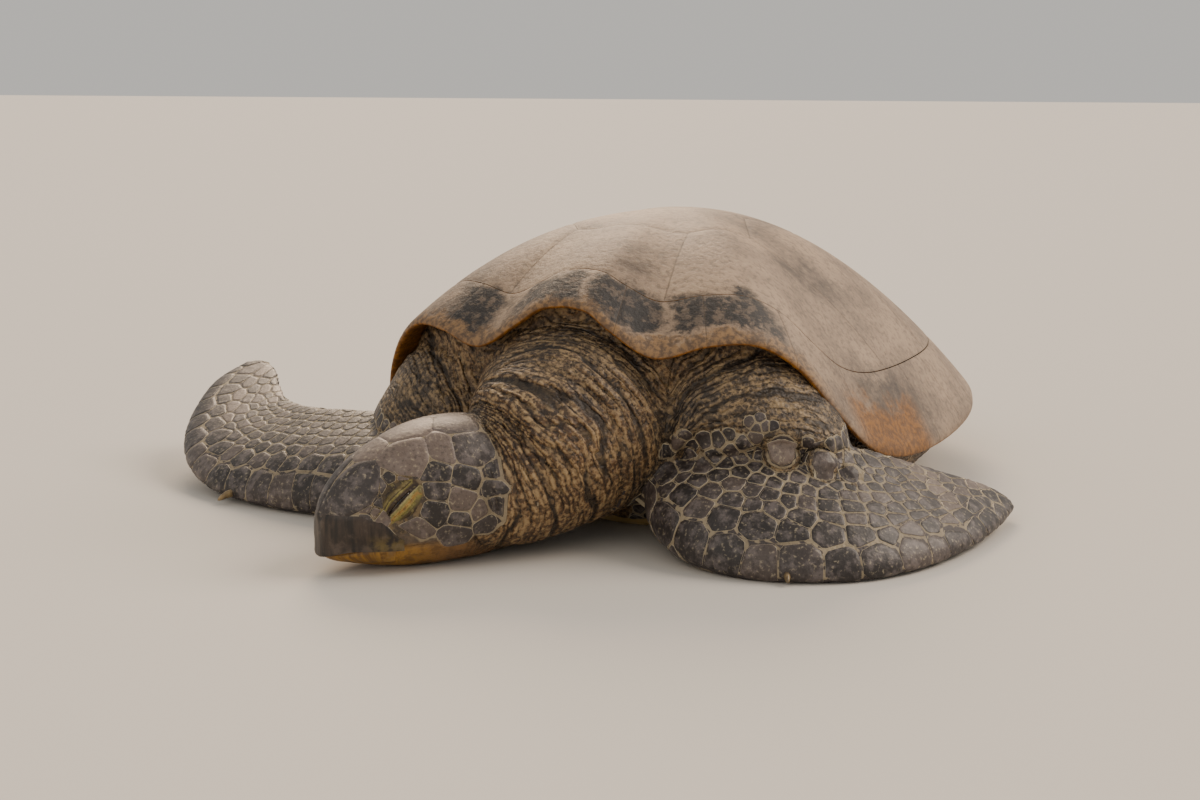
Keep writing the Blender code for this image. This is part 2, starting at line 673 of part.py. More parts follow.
def head_parts():
    """Head, upper beak, lower jaw and eyes, parted by thin cuts."""
    rings = skull_rings(SKULL_ROWS)
    parts = {name: solid(name, *tube(rings), colour) for name, colour in
             (("head", "scaled"), ("beak_upper", "horn"), ("lower_jaw", "belly"))}
    above = mouth_wedge("above", BEAK_REAR, True, 0)
    below = mouth_wedge("below", MOUTH_REAR, False, -GAP)
    above_cut = mouth_wedge("above_cut", BEAK_REAR, True, GAP)
    below_cut = mouth_wedge("below_cut", MOUTH_REAR, False, 0)
    apply_boolean(parts["beak_upper"], above, "INTERSECT")
    apply_boolean(parts["lower_jaw"], below, "INTERSECT")
    apply_boolean(parts["head"], above_cut, "DIFFERENCE")
    apply_boolean(parts["head"], below_cut, "DIFFERENCE")
    for helper in (above, below, above_cut, below_cut):
        bpy.data.objects.remove(helper)
    for part in parts.values():
        rest_on_floor(part)
    eyes = [eye(1), eye(-1)]
    trim(parts["head"], eyes)
    trim(parts["beak_upper"], eyes)
    return [*parts.values(), *eyes]


# -------------------------------------------------------------------- assembly
def claw(name, base, tip):
    """The one claw of a front flipper, on its leading edge."""
    base, tip = Vector(base), Vector(tip)
    along = (tip - base).normalized()
    across = along.cross(Vector((0, 0, 1))).normalized()
    up = across.cross(along)
    rings = []
    for share, size in CLAW_TAPER:
        centre = base.lerp(tip, share)
        rings.append([centre + CLAW_RADIUS * size * (across * math.cos(a) + up * math.sin(a))
                      for a in (2 * math.pi * i / CLAW_SIDES for i in range(CLAW_SIDES))])
    return solid(name, *tube(rings), "horn")


def clear_scene():
    for item in list(bpy.data.objects):
        bpy.data.objects.remove(item)


def centre_on_floor(parts):
    """Moves all parts so that the origin is under the middle of their bounding box."""
    corners = np.array([tuple(vertex.co) for part in parts for vertex in part.data.vertices])
    low, high = corners.min(axis=0), corners.max(axis=0)
    shift = Vector((-(low[0] + high[0]) / 2, -(low[1] + high[1]) / 2, -low[2]))
    for part in parts:
        part.data.transform(Matrix.Translation(shift))


def smooth_round(part):
    """Smooth shading but for the sharp edges that cuts leave."""
    for face in part.data.polygons:
        face.use_smooth = True
    part.data.set_sharp_from_angle(angle=math.radians(40))


def front_limb(side, arm_rows, blade_rows, claw_ends, body, head, ring):
    """Upper arm, blade and claw of one front flipper; body is trunk, plastron and neck."""
    arm = solid(f"front_flipper_{side}_upper_arm", *tube(oval_loft(arm_rows, ARM_ROWS)), "hide")
    blade = solid(f"front_flipper_{side}_blade", *tube(blade_loft(blade_rows, BLADE_ROWS)), "scaled")
    nail = claw(f"claw_{side}", *claw_ends)
    for part in (arm, blade, nail):
        rest_on_floor(part)
    trim(blade, body)
    trim(arm, [blade, *body, head, *ring])
    trim(nail, [blade])
    return [arm, blade, nail]


def rear_limb(side, thigh_rows, foot_rows, body, ring):
    """Thigh and foot of one rear flipper; body is trunk and plastron."""
    thigh = solid(f"rear_flipper_{side}_thigh", *tube(oval_loft(thigh_rows, THIGH_ROWS)), "hide")
    foot = solid(f"rear_flipper_{side}_foot", *tube(blade_loft(foot_rows, FOOT_ROWS)), "scaled")
    for part in (thigh, foot):
        rest_on_floor(part)
    trim(thigh, [*body, *ring])
    trim(foot, [thigh, *body, *ring])
    return [thigh, foot]


def main():
    clear_scene()
    outlines = {name: oriented(outline) for name, outline in plate_outlines().items()}
    shell = [plate(name, outline) for name, outline in outlines.items()]
    ring = [nuchal()]
    for index in range(MARGINALS):
        shares = ring_shares(index, index + 1)
        ring.append(marginal(f"marginal_scute_left_{index + 1}", shares, 1))
        ring.append(marginal(f"marginal_scute_right_{index + 1}", shares, -1))
    body = [trunk(outlines), plastron()]
    head = head_parts()
    neck = solid("neck", *tube(oval_loft(NECK, NECK_ROWS)), "hide")
    rest_on_floor(neck)
    trim(neck, [*body, *head, *ring])
    front = [*body, neck]
    limbs = front_limb("left", LEFT_ARM, LEFT_BLADE, LEFT_CLAW, front, head[0], ring)
    limbs += front_limb("right", RIGHT_ARM, RIGHT_BLADE, RIGHT_CLAW, front, head[0], ring)
    limbs += rear_limb("left", LEFT_THIGH, LEFT_FOOT, body, ring)
    limbs += rear_limb("right", flip_x(LEFT_THIGH), flip_x(LEFT_FOOT, (0, 3)), body, ring)
    tail = solid("tail", *tube(oval_loft(TAIL, TAIL_ROWS, TAIL_SIDES)), "hide")
    trim(tail, [*body, *ring])
    parts = [*shell, *ring, *body, neck, tail, *head, *limbs]
    centre_on_floor(parts)
    for part in parts:
        smooth_round(part)


main()
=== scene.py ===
"""Finished surfaces of a resting green sea turtle, a life-size museum model.

Metres, +Z up. The turtle faces -Y with its left side at +X and its head turned to its
right. One skin covers neck, limbs, tail and body wall. Horn plates, beak, claws, eyes
and raised scales are pieces of their own on it.
"""

import json
import logging
import math
from dataclasses import dataclass, field
from enum import Enum
from typing import Callable, Iterable, Sequence

import bmesh
import bpy
import numpy as np
from mathutils import Matrix, Vector
from mathutils.bvhtree import BVHTree
from mathutils.geometry import delaunay_2d_cdt
from mathutils.kdtree import KDTree

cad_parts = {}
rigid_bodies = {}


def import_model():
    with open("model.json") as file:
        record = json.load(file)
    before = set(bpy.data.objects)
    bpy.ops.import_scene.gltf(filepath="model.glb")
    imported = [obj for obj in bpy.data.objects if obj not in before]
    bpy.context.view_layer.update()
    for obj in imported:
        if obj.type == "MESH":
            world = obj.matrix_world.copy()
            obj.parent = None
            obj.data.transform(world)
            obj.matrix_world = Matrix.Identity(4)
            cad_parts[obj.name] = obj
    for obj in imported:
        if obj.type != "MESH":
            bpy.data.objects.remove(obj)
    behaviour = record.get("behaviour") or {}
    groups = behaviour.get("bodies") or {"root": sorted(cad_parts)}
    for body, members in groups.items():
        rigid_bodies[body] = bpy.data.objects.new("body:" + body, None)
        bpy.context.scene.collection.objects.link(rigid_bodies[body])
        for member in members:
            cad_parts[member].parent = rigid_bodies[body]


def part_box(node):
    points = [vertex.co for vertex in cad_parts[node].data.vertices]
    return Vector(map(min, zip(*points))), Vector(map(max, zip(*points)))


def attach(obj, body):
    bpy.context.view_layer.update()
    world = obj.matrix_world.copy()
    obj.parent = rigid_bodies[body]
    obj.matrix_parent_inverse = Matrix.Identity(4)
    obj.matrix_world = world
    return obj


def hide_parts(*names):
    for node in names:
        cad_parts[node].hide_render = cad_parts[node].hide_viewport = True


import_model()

for startup_object in [o for o in bpy.data.objects if o.name in ("Cube", "Light", "Camera")]:
    bpy.data.objects.remove(startup_object)
LOG = logging.getLogger("sea_turtle")
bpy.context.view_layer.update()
Array = np.ndarray
Socket = bpy.types.NodeSocket
Rows = Sequence[tuple[float, ...]]
BAKE_MAP = "OFBake"
HORN_CREASE = math.radians(50)               # a plate's faces that meet more steeply stay sharp
SCALE_CREASE = math.radians(62)


# --------------------------------------------------------------- numbers and noise
def spline(rows: Rows, count: int) -> Array:
    """Reads a smooth curve through rows of numbers.

    Args:
        rows: The values to pass through, one row for each station.
        count: How many evenly spaced places to read.

    Returns:
        An array with one row for each place.
    """
    table = np.asarray(rows, float)
    ends = np.vstack([2 * table[0] - table[1], table, 2 * table[-1] - table[-2]])
    place = np.linspace(0, len(table) - 1, count)
    start = np.minimum(place.astype(int), len(table) - 2)
    t = (place - start)[:, None]
    a, b, c, d = (ends[start + k] for k in range(4))
    return 0.5 * (2 * b + (c - a) * t + (2 * a - 5 * b + 4 * c - d) * t * t
                  + (3 * b - 3 * c + d - a) * t ** 3)


def ease(low: float, high: float, values: Array) -> Array:
    """A smooth step of values from 0 at low to 1 at high, which may be the smaller."""
    t = np.clip((values - low) / (high - low), 0, 1)
    return t * t * (3 - 2 * t)


def unit(vectors: Array) -> Array:
    """The vectors, each at length 1."""
    return vectors / np.maximum(np.linalg.norm(vectors, axis=-1, keepdims=True), 1e-12)


def lattice(cells: Array, seed: int) -> Array:
    """A repeatable number from -1 to 1 for each row of three whole numbers."""
    mixed = cells[:, 0] * 374761393 + cells[:, 1] * 668265263 + cells[:, 2] * 144665177
    mixed = (mixed + seed * 974634777) & 0x7FFFFFFF
    mixed = ((mixed ^ (mixed >> 13)) * 1274126177) & 0x7FFFFFFF
    return ((mixed ^ (mixed >> 16)) & 0xFFFF) / 32767.5 - 1


def noise(points: Array, size: float, seed: int = 0) -> Array:
    """Smooth noise over space.

    Args:
        points: Places, one in each row.
        size: Distance over which the noise changes, in metres.
        seed: Which pattern to read.

    Returns:
        A value from -1 to 1 for each place.
    """
    scaled = points / size
    base = np.floor(scaled).astype(np.int64)
    t = scaled - base
    t = t * t * (3 - 2 * t)
    total = np.zeros(len(points))
    for corner in range(8):
        bits = np.array([corner & 1, corner >> 1 & 1, corner >> 2 & 1])
        share = np.prod(np.where(bits, t, 1 - t), axis=1)
        total += share * lattice(base + bits, seed)
    return total


def ridges(places: Array) -> Array:
    """Round ridges parted by sharp creases: 0 in the crease at each whole number, 1 between."""
    return 1 - np.abs(2 * (places - np.floor(places)) - 1) ** 2.2


def running_length(points: Array) -> Array:
    """Length along a line of points up to each of them."""
    return np.concatenate([[0], np.cumsum(np.linalg.norm(np.diff(points, axis=0), axis=1))])


def full_turn(count: int) -> Array:
    """Angles evenly spaced round a circle, from 0."""
    return np.linspace(0, 2 * math.pi, count, endpoint=False)


# --------------------------------------------------------------- mesh helpers
def add_object(name: str, data: bpy.types.ID) -> bpy.types.Object:
    """An object with this data, linked to the scene."""
    made = bpy.data.objects.new(name, data)
    bpy.context.scene.collection.objects.link(made)
    return made


def new_object(name: str, points: Array, faces: Iterable[Sequence[int]]) -> bpy.types.Object:
    """Makes a smooth-shaded mesh object at the origin.

    Args:
        name: The object's name.
        points: Its corners, one in each row.
        faces: The corners of each face, by number.

    Returns:
        The object, linked to the scene.
    """
    mesh = bpy.data.meshes.new(name)
    mesh.from_pydata(np.asarray(points, float).tolist(), [], [tuple(map(int, f)) for f in faces])
    mesh.validate()
    mesh.shade_smooth()
    return add_object(name, mesh)


def read_all(items: bpy.types.bpy_prop_collection, name: str, kind: type = np.float32,
             width: int = 1) -> Array:
    """One property of every item, in rows if it is more than one number wide."""
    values = np.empty(len(items) * width, kind)
    items.foreach_get(name, values)
    return values if width == 1 else values.reshape(-1, width)


def corners_of(mesh: bpy.types.Mesh) -> Array:
    """The mesh's vertex places, one in each row."""
    return read_all(mesh.vertices, "co", width=3).astype(float)


def normals_of(mesh: bpy.types.Mesh) -> Array:
    """The mesh's vertex normals, one in each row."""
    return read_all(mesh.vertices, "normal", width=3).astype(float)


def set_corners(mesh: bpy.types.Mesh, points: Array) -> None:
    """Moves the mesh's vertices."""
    mesh.vertices.foreach_set("co", np.asarray(points, np.float32).ravel())
    mesh.update()


def add_number(mesh: bpy.types.Mesh, name: str, values: Array) -> None:
    """Stores one number at each vertex, for a material to read."""
    made = mesh.attributes.new(name, "FLOAT", "POINT")
    made.data.foreach_set("value", np.asarray(values, np.float32))


def read_number(mesh: bpy.types.Mesh, title: str) -> Array:
    """A number stored on the mesh's vertices."""
    return read_all(mesh.attributes[title].data, "value")


def triangle_count(mesh: bpy.types.Mesh) -> int:
    """How many triangles the mesh's faces come to."""
    return sum(len(face.vertices) - 2 for face in mesh.polygons)


def add_vector(mesh: bpy.types.Mesh, name: str, values: Array) -> None:
    """Stores one vector at each vertex, for a material to read."""
    made = mesh.attributes.new(name, "FLOAT_VECTOR", "POINT")
    made.data.foreach_set("vector", np.asarray(values, np.float32).ravel())


def evaluated_mesh(source: bpy.types.Object) -> bpy.types.Mesh:
    """A plain mesh of the object with its modifiers applied."""
    graph = bpy.context.evaluated_depsgraph_get()
    return bpy.data.meshes.new_from_object(source.evaluated_get(graph))


def bake_modifiers(target: bpy.types.Object) -> bpy.types.Object:
    """Replaces the object's mesh by its evaluated one and removes its modifiers."""
    mesh = evaluated_mesh(target)
    target.modifiers.clear()
    target.data = mesh
    return target


def grid_faces(rows: int, columns: int, first: int = 0,
               wrap: bool = True) -> list[tuple[int, ...]]:
    """Quads over a grid of points.

    Args:
        rows: How many rows of points.
        columns: Points in each row.
        first: The number of the first point.
        wrap: Whether each row closes on itself.

    Returns:
        The corners of each quad.
    """
    faces = []
    for r in range(rows - 1):
        for c in range(columns if wrap else columns - 1):
            after = (c + 1) % columns
            low, high = first + r * columns, first + (r + 1) * columns
            faces.append((low + c, low + after, high + after, high + c))
    return faces


def tube_mesh(rings: Array) -> tuple[Array, list[tuple[int, ...]]]:
    """Closes a stack of rings into a tube with flat ends.

    Args:
        rings: Points by ring, by place on the ring, by axis.

    Returns:
        Its points and faces.
    """
    rows, columns, _ = rings.shape
    faces = grid_faces(rows, columns)
    faces.append(tuple(range(columns))[::-1])
    faces.append(tuple(range((rows - 1) * columns, rows * columns)))
    return rings.reshape(-1, 3), faces


def faced_outwards(target: bpy.types.Object) -> bpy.types.Object:
    """Merges doubled points and turns every face outwards."""
    work = bmesh.new()
    work.from_mesh(target.data)
    bmesh.ops.remove_doubles(work, verts=work.verts, dist=1e-6)
    bmesh.ops.recalc_face_normals(work, faces=work.faces)
    work.to_mesh(target.data)
    work.free()
    return target


# --------------------------------------------------------------- the shell's form
@dataclass(frozen=True)
class ShellForm:
    """The shell as a dome over its rim line; sizes in metres, symmetrical about x = 0."""

    top: float = 0.350
    apex: tuple[float, float] = (0.0, -0.080)
    ring: float = 0.83                       # share of the radius where the marginal ring starts
    nuchal: float = 0.05                     # half width of the nuchal plate, share of the rim
    marginals: int = 12
    rim: Rows = (
        (0.000, -0.438, 0.268), (0.032, -0.444, 0.263), (0.062, -0.447, 0.243),
        (0.110, -0.442, 0.216), (0.165, -0.424, 0.230), (0.215, -0.396, 0.230),
        (0.257, -0.367, 0.201), (0.290, -0.334, 0.150), (0.316, -0.284, 0.102),
        (0.334, -0.205, 0.079), (0.348, -0.090, 0.074), (0.351, 0.040, 0.079),
        (0.336, 0.150, 0.085), (0.300, 0.255, 0.090), (0.222, 0.352, 0.092),
        (0.120, 0.420, 0.091), (0.050, 0.449, 0.090), (0.000, 0.442, 0.091),
    )
    # How the dome falls from apex to rim: share of the rim line, exponent.
    fall: Rows = ((0.0, 2.8), (0.12, 2.6), (0.30, 2.25), (0.50, 2.15), (0.75, 1.8), (1.0, 1.6))
    line: Array = field(init=False, repr=False)
    shares: Array = field(init=False, repr=False)
    bearings: Array = field(init=False, repr=False)
    powers: Array = field(init=False, repr=False)

    def __post_init__(self) -> None:
        """Works out the rim's look-up tables."""
        line = spline(self.rim, 600)
        run = running_length(line[:, :2])
        bearing = np.unwrap(np.arctan2(line[:, 0] - self.apex[0], self.apex[1] - line[:, 1]))
        for name, value in (("line", line), ("shares", run / run[-1]), ("bearings", bearing),
                            ("powers", spline(self.fall, 200))):
            object.__setattr__(self, name, value)

    def edge(self, share: Array) -> Array:
        """Points of the left half's rim line at shares of its length."""
        return np.stack([np.interp(share, self.shares, self.line[:, k]) for k in range(3)], -1)

    def share_of(self, x: Array, y: Array) -> Array:
        """The rim share that a plan point bears towards."""
        return np.interp(np.arctan2(np.abs(x), self.apex[1] - y), self.bearings, self.shares)

    def rho_of(self, x: Array, y: Array) -> Array:
        """A plan point's distance from the apex, as a share of the radius there."""
        edge = self.edge(self.share_of(x, y))
        reach = np.hypot(edge[..., 0], edge[..., 1] - self.apex[1])
        return np.hypot(x, y - self.apex[1]) / reach

    def height(self, x: Array, y: Array) -> Array:
        """Height of the shell over plan points."""
        share = self.share_of(x, y)
        edge = self.edge(share)
        power = np.interp(share, self.powers[:, 0], self.powers[:, 1])
        return edge[..., 2] + (self.top - edge[..., 2]) * (1 - self.rho_of(x, y) ** power)

    def point(self, x: Array, y: Array, depth: Array | float = 0.0) -> Array:
        """Points this far below the shell's surface.

        Args:
            x: Plan places across.
            y: Plan places along.
            depth: Distance below the surface, along its normal.

        Returns:
            One point for each plan place.
        """
        step = 0.004
        slope_x = (self.height(x + step, y) - self.height(x - step, y)) / (2 * step)
        slope_y = (self.height(x, y + step) - self.height(x, y - step)) / (2 * step)
        normal = unit(np.stack([-slope_x, -slope_y, np.ones_like(slope_x)], -1))
        return np.stack([x, y, self.height(x, y)], -1) - normal * np.asarray(depth)[..., None]

    def plan(self, share: Array, rho: Array, side: Array | int = 1) -> tuple[Array, Array]:
        """Plan places at a share of the rim and of the radius, on the left (1) or right (-1)."""
        edge = self.edge(share)
        return side * rho * edge[..., 0], self.apex[1] + rho * (edge[..., 1] - self.apex[1])

    def seam(self, index: float) -> float:
        """The rim share where a marginal plate starts, counted from 0 at the nuchal plate."""
        return self.nuchal + (1 - self.nuchal) * index / self.marginals


SHELL = ShellForm()


def placement() -> Array:
    """The step from the turtle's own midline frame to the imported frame, from the plates' boxes."""
    left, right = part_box("costal_scute_left_2"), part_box("costal_scute_right_2")
    across = (left[1].x + right[0].x) / 2
    tail_share = np.linspace(SHELL.seam(11), 1.0, 40)
    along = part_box("marginal_scute_left_12")[1].y - SHELL.edge(tail_share)[:, 1].max()
    return np.array([across, along, 0.0])


SHIFT = placement()


# --------------------------------------------------------------- lofted body forms
@dataclass(frozen=True)
class OvalForm:
    """A limb, neck or tail: oval sections along a path.

    rows hold centre x, y, z, half width and half height.
    """

    rows: Rows

    def table(self, count: int) -> tuple[Array, Array, Array, Array]:
        """Reads the path.

        Args:
            count: How many stations.

        Returns:
            The stations' values, and the unit vectors along, across and up.
        """
        values = spline(self.rows, count)
        along = unit(np.gradient(values[:, :3], axis=0))
        across = unit(np.cross(along, (0.0, 0.0, 1.0)))
        return values, along, across, np.cross(across, along)

    def rings(self, count: int, sides: int, inset: float = 0.0) -> Array:
        """Sections of the form, each drawn in by inset."""
        values, _, across, up = self.table(count)
        turn = full_turn(sides)[None, :, None]
        wide = (values[:, 3] - inset)[:, None, None]
        high = (values[:, 4] - inset)[:, None, None]
        centre = values[:, None, :3]
        return centre + across[:, None] * wide * np.cos(turn) + up[:, None] * high * np.sin(turn)


@dataclass(frozen=True)
class BladeForm:
    """A flipper's blade: wing sections from a leading to a trailing edge.

    rows hold leading x, y, z, trailing x, y, z and thickness.
    """

    rows: Rows
    fullness: float = 0.30                   # where along the chord the blade is thickest
    edge: float = 0.004                      # least thickness
    rim_depth: float = 0.0054                # thickness that the skin keeps at its rounded rim

    def stations(self, count: int) -> tuple[Array, Array, Array, Array, Array]:
        """Reads the blade along its length.

        Args:
            count: How many stations.

        Returns:
            Leading points, chords, unit vectors along and up, and thicknesses.
        """
        values = spline(self.rows, count)
        lead, trail = values[:, :3], values[:, 3:6]
        along = unit(np.gradient(lead + trail, axis=0))
        up = unit(np.cross(trail - lead, along))
        up *= np.where(up[:, 2:] > 0, 1, -1)
        return lead, trail - lead, along, up, np.maximum(values[:, 6], self.edge)

    def section(self, place: Array) -> Array:
        """Half thickness at shares of the chord: a full and an edge part, both from 0 to 1."""
        turned = np.clip(place, 1e-9, 1) ** (math.log(0.5) / math.log(self.fullness))
        full = np.clip(np.sin(math.pi * turned), 0, 1)
        return np.stack([full, 1 - np.abs(2 * place - 1) ** 9], -1)

    def rings(self, count: int, sides: int, inset: float = 0.0) -> Array:
        """Sections of the blade, thinner by inset on both faces."""
        lead, chord, _, up, thick = self.stations(count)
        turn = full_turn(sides)
        place = 0.5 - 0.5 * np.cos(turn)
        full, rim = self.section(place).T
        half = 0.5 * (np.maximum(thick - 2 * inset, self.edge)[:, None] * full
                      + self.rim_depth * rim)
        half = half * np.sign(np.sin(turn)) * (np.abs(np.sin(turn)) > 1e-6)
        return lead[:, None] + chord[:, None] * place[:, None] + up[:, None] * half[..., None]


@dataclass(frozen=True)
class SkullForm:
    """The head: rounded sections along its axis, turned to the turtle's right.

    rows hold distance from the rear, half width, crown, widest height and jaw line.
    """

    rows: Rows = (
        (0.000, 0.062, 0.138, 0.068, 0.012), (0.040, 0.073, 0.152, 0.069, 0.002),
        (0.085, 0.076, 0.155, 0.068, -0.001), (0.124, 0.071, 0.149, 0.066, -0.002),
        (0.157, 0.062, 0.137, 0.062, 0.000), (0.184, 0.051, 0.123, 0.057, 0.004),
        (0.206, 0.039, 0.107, 0.052, 0.008), (0.222, 0.027, 0.089, 0.047, 0.013),
        (0.231, 0.015, 0.072, 0.043, 0.020),
    )
    rear: tuple[float, float] = (-0.038, -0.486)
    turn: float = math.radians(36)
    jaw_fullness: float = 0.74

    def matrix(self) -> Array:
        """Rotation from the head's axes (forward, its left, up) to the body's."""
        angle = -math.pi / 2 - self.turn
        c, s = math.cos(angle), math.sin(angle)
        return np.array([[c, -s, 0.0], [s, c, 0.0], [0.0, 0.0, 1.0]])

    def to_body(self, points: Array) -> Array:
        """Points of the head's frame in the body's."""
        return np.asarray(points, float) @ self.matrix().T + np.array([*self.rear, 0.0])

    def to_head(self, points: Array) -> Array:
        """Points of the body's frame in the head's."""
        return (np.asarray(points, float) - np.array([*self.rear, 0.0])) @ self.matrix()

    def section(self, values: Array, angle: Array, inset: float = 0.0) -> Array:
        """Points of the head in its own frame.

        Args:
            values: Rows of station values, as rows holds them.
            angle: Angle from the crown for each row, in radians, left side positive.
            inset: How far the surface is drawn in.

        Returns:
            One point for each row.
        """
        along, wide, crown, middle, jaw = np.moveaxis(values, -1, 0)
        wide, crown, jaw = wide - inset, crown - inset, jaw + inset
        side, rise = np.sin(angle), np.cos(angle)
        high = np.abs(rise)
        above = np.stack([along, wide * np.sign(side) * np.abs(side) ** 0.85,
                          middle + (crown - middle) * high ** 0.9], -1)
        narrow = 1 - (1 - self.jaw_fullness) * high ** 1.5
        below = np.stack([along, wide * narrow * np.sign(side) * np.abs(side) ** 0.6,
                          middle - (middle - jaw) * high ** 0.7], -1)
        return np.where((rise >= 0)[..., None], above, below)

    def rings(self, count: int, sides: int, inset: float = 0.0) -> Array:
        """Sections of the head in the body's frame, with a rounded snout."""
        values = spline(self.rows, count)
        tip = values[-1].copy()
        tip[0] += 0.002
        tip[1] *= 0.6
        tip[2] = tip[3] + (tip[2] - tip[3]) * 0.75
        tip[4] = tip[3] - (tip[3] - tip[4]) * 0.75
        values = np.vstack([values, tip])
        grid = np.repeat(values[:, None], sides, axis=1)
        spread = np.broadcast_to(full_turn(sides), grid.shape[:2])
        points = self.section(grid, spread, inset)
        return self.to_body(points.reshape(-1, 3)).reshape(points.shape)

    def surface(self, along: Array, angle: Array) -> Array:
        """Points in the body's frame at distances from the rear and angles from the crown."""
        table = spline(self.rows, 200)
        values = np.stack([np.interp(along, table[:, 0], table[:, k]) for k in range(5)], -1)
        return self.to_body(self.section(values, np.asarray(angle, float)))


def flipped(rows: Rows, columns: tuple[int, ...] = (0,)) -> Rows:
    """Rows mirrored to the other side of the body."""
    return [tuple(-v if k in columns else v for k, v in enumerate(row)) for row in rows]


HEAD = SkullForm()
NECK = OvalForm((
    (0.000, -0.300, 0.145, 0.115, 0.085), (0.000, -0.380, 0.135, 0.130, 0.112),
    (-0.002, -0.430, 0.124, 0.122, 0.108), (-0.012, -0.472, 0.107, 0.104, 0.100),
    (-0.028, -0.502, 0.088, 0.088, 0.084), (-0.044, -0.526, 0.078, 0.078, 0.072),
    (-0.060, -0.548, 0.074, 0.068, 0.062)))
ARM_LEFT = OvalForm((
    (0.085, -0.260, 0.150, 0.090, 0.080), (0.142, -0.312, 0.142, 0.106, 0.092),
    (0.186, -0.350, 0.130, 0.108, 0.088), (0.214, -0.378, 0.112, 0.100, 0.070),
    (0.222, -0.396, 0.094, 0.076, 0.046)))
ARM_RIGHT = OvalForm((
    (-0.085, -0.260, 0.150, 0.090, 0.080), (-0.145, -0.308, 0.140, 0.105, 0.090),
    (-0.195, -0.342, 0.120, 0.105, 0.084), (-0.232, -0.366, 0.094, 0.086, 0.062),
    (-0.258, -0.382, 0.074, 0.064, 0.042)))
THIGH_ROWS = ((0.100, 0.230, 0.070, 0.065, 0.045), (0.130, 0.300, 0.058, 0.066, 0.044),
              (0.145, 0.360, 0.044, 0.060, 0.036), (0.150, 0.400, 0.034, 0.052, 0.026))
THIGH_LEFT, THIGH_RIGHT = OvalForm(THIGH_ROWS), OvalForm(flipped(THIGH_ROWS))
TAIL = OvalForm(((0.0, 0.300, 0.060, 0.050, 0.040), (0.0, 0.370, 0.046, 0.036, 0.032),
                 (0.0, 0.430, 0.030, 0.023, 0.021), (0.0, 0.476, 0.018, 0.010, 0.010)))
BLADE_LEFT = BladeForm((
    (0.118, -0.395, 0.050, 0.175, -0.325, 0.100, 0.050),
    (0.108, -0.448, 0.030, 0.190, -0.350, 0.118, 0.070),
    (0.165, -0.502, 0.012, 0.230, -0.352, 0.130, 0.068),
    (0.235, -0.520, 0.004, 0.272, -0.348, 0.126, 0.056),
    (0.305, -0.510, 0.004, 0.306, -0.333, 0.114, 0.042),
    (0.368, -0.470, 0.004, 0.338, -0.302, 0.099, 0.031),
    (0.412, -0.400, 0.006, 0.364, -0.255, 0.080, 0.023),
    (0.438, -0.310, 0.008, 0.390, -0.203, 0.060, 0.017),
    (0.448, -0.220, 0.010, 0.418, -0.158, 0.040, 0.012),
    (0.448, -0.150, 0.012, 0.434, -0.135, 0.023, 0.008)))
BLADE_RIGHT = BladeForm((
    (-0.190, -0.440, 0.040, -0.180, -0.350, 0.090, 0.046),
    (-0.250, -0.475, 0.018, -0.240, -0.345, 0.104, 0.060),
    (-0.325, -0.476, 0.008, -0.315, -0.330, 0.104, 0.056),
    (-0.405, -0.466, 0.008, -0.392, -0.318, 0.100, 0.044),
    (-0.480, -0.444, 0.012, -0.448, -0.292, 0.096, 0.034),
    (-0.545, -0.402, 0.026, -0.486, -0.264, 0.096, 0.027),
    (-0.596, -0.342, 0.046, -0.512, -0.234, 0.098, 0.021),
    (-0.632, -0.268, 0.070, -0.537, -0.204, 0.104, 0.016),
    (-0.652, -0.196, 0.092, -0.566, -0.168, 0.112, 0.012),
    (-0.640, -0.140, 0.110, -0.602, -0.136, 0.118, 0.008)))
FOOT_ROWS = ((0.205, 0.385, 0.016, 0.095, 0.375, 0.024, 0.044),
             (0.222, 0.440, 0.012, 0.088, 0.425, 0.018, 0.030),
             (0.230, 0.495, 0.009, 0.084, 0.475, 0.012, 0.020),
             (0.226, 0.550, 0.007, 0.092, 0.520, 0.008, 0.013),
             (0.204, 0.590, 0.006, 0.117, 0.560, 0.006, 0.010),
             (0.170, 0.602, 0.005, 0.146, 0.590, 0.005, 0.008))
FOOT_LEFT, FOOT_RIGHT = BladeForm(FOOT_ROWS), BladeForm(flipped(FOOT_ROWS, (0, 3)))


# --------------------------------------------------------------- the skin
@dataclass(frozen=True)
class FoldStyle:
    """How a region's skin is folded: strength from 0 to 1, and fold spacing in metres.

    grooves hold distance along the region, width and depth of its few deep folds.
    """

    strength: float
    spacing: float = 0.0115
    grooves: Rows = ()


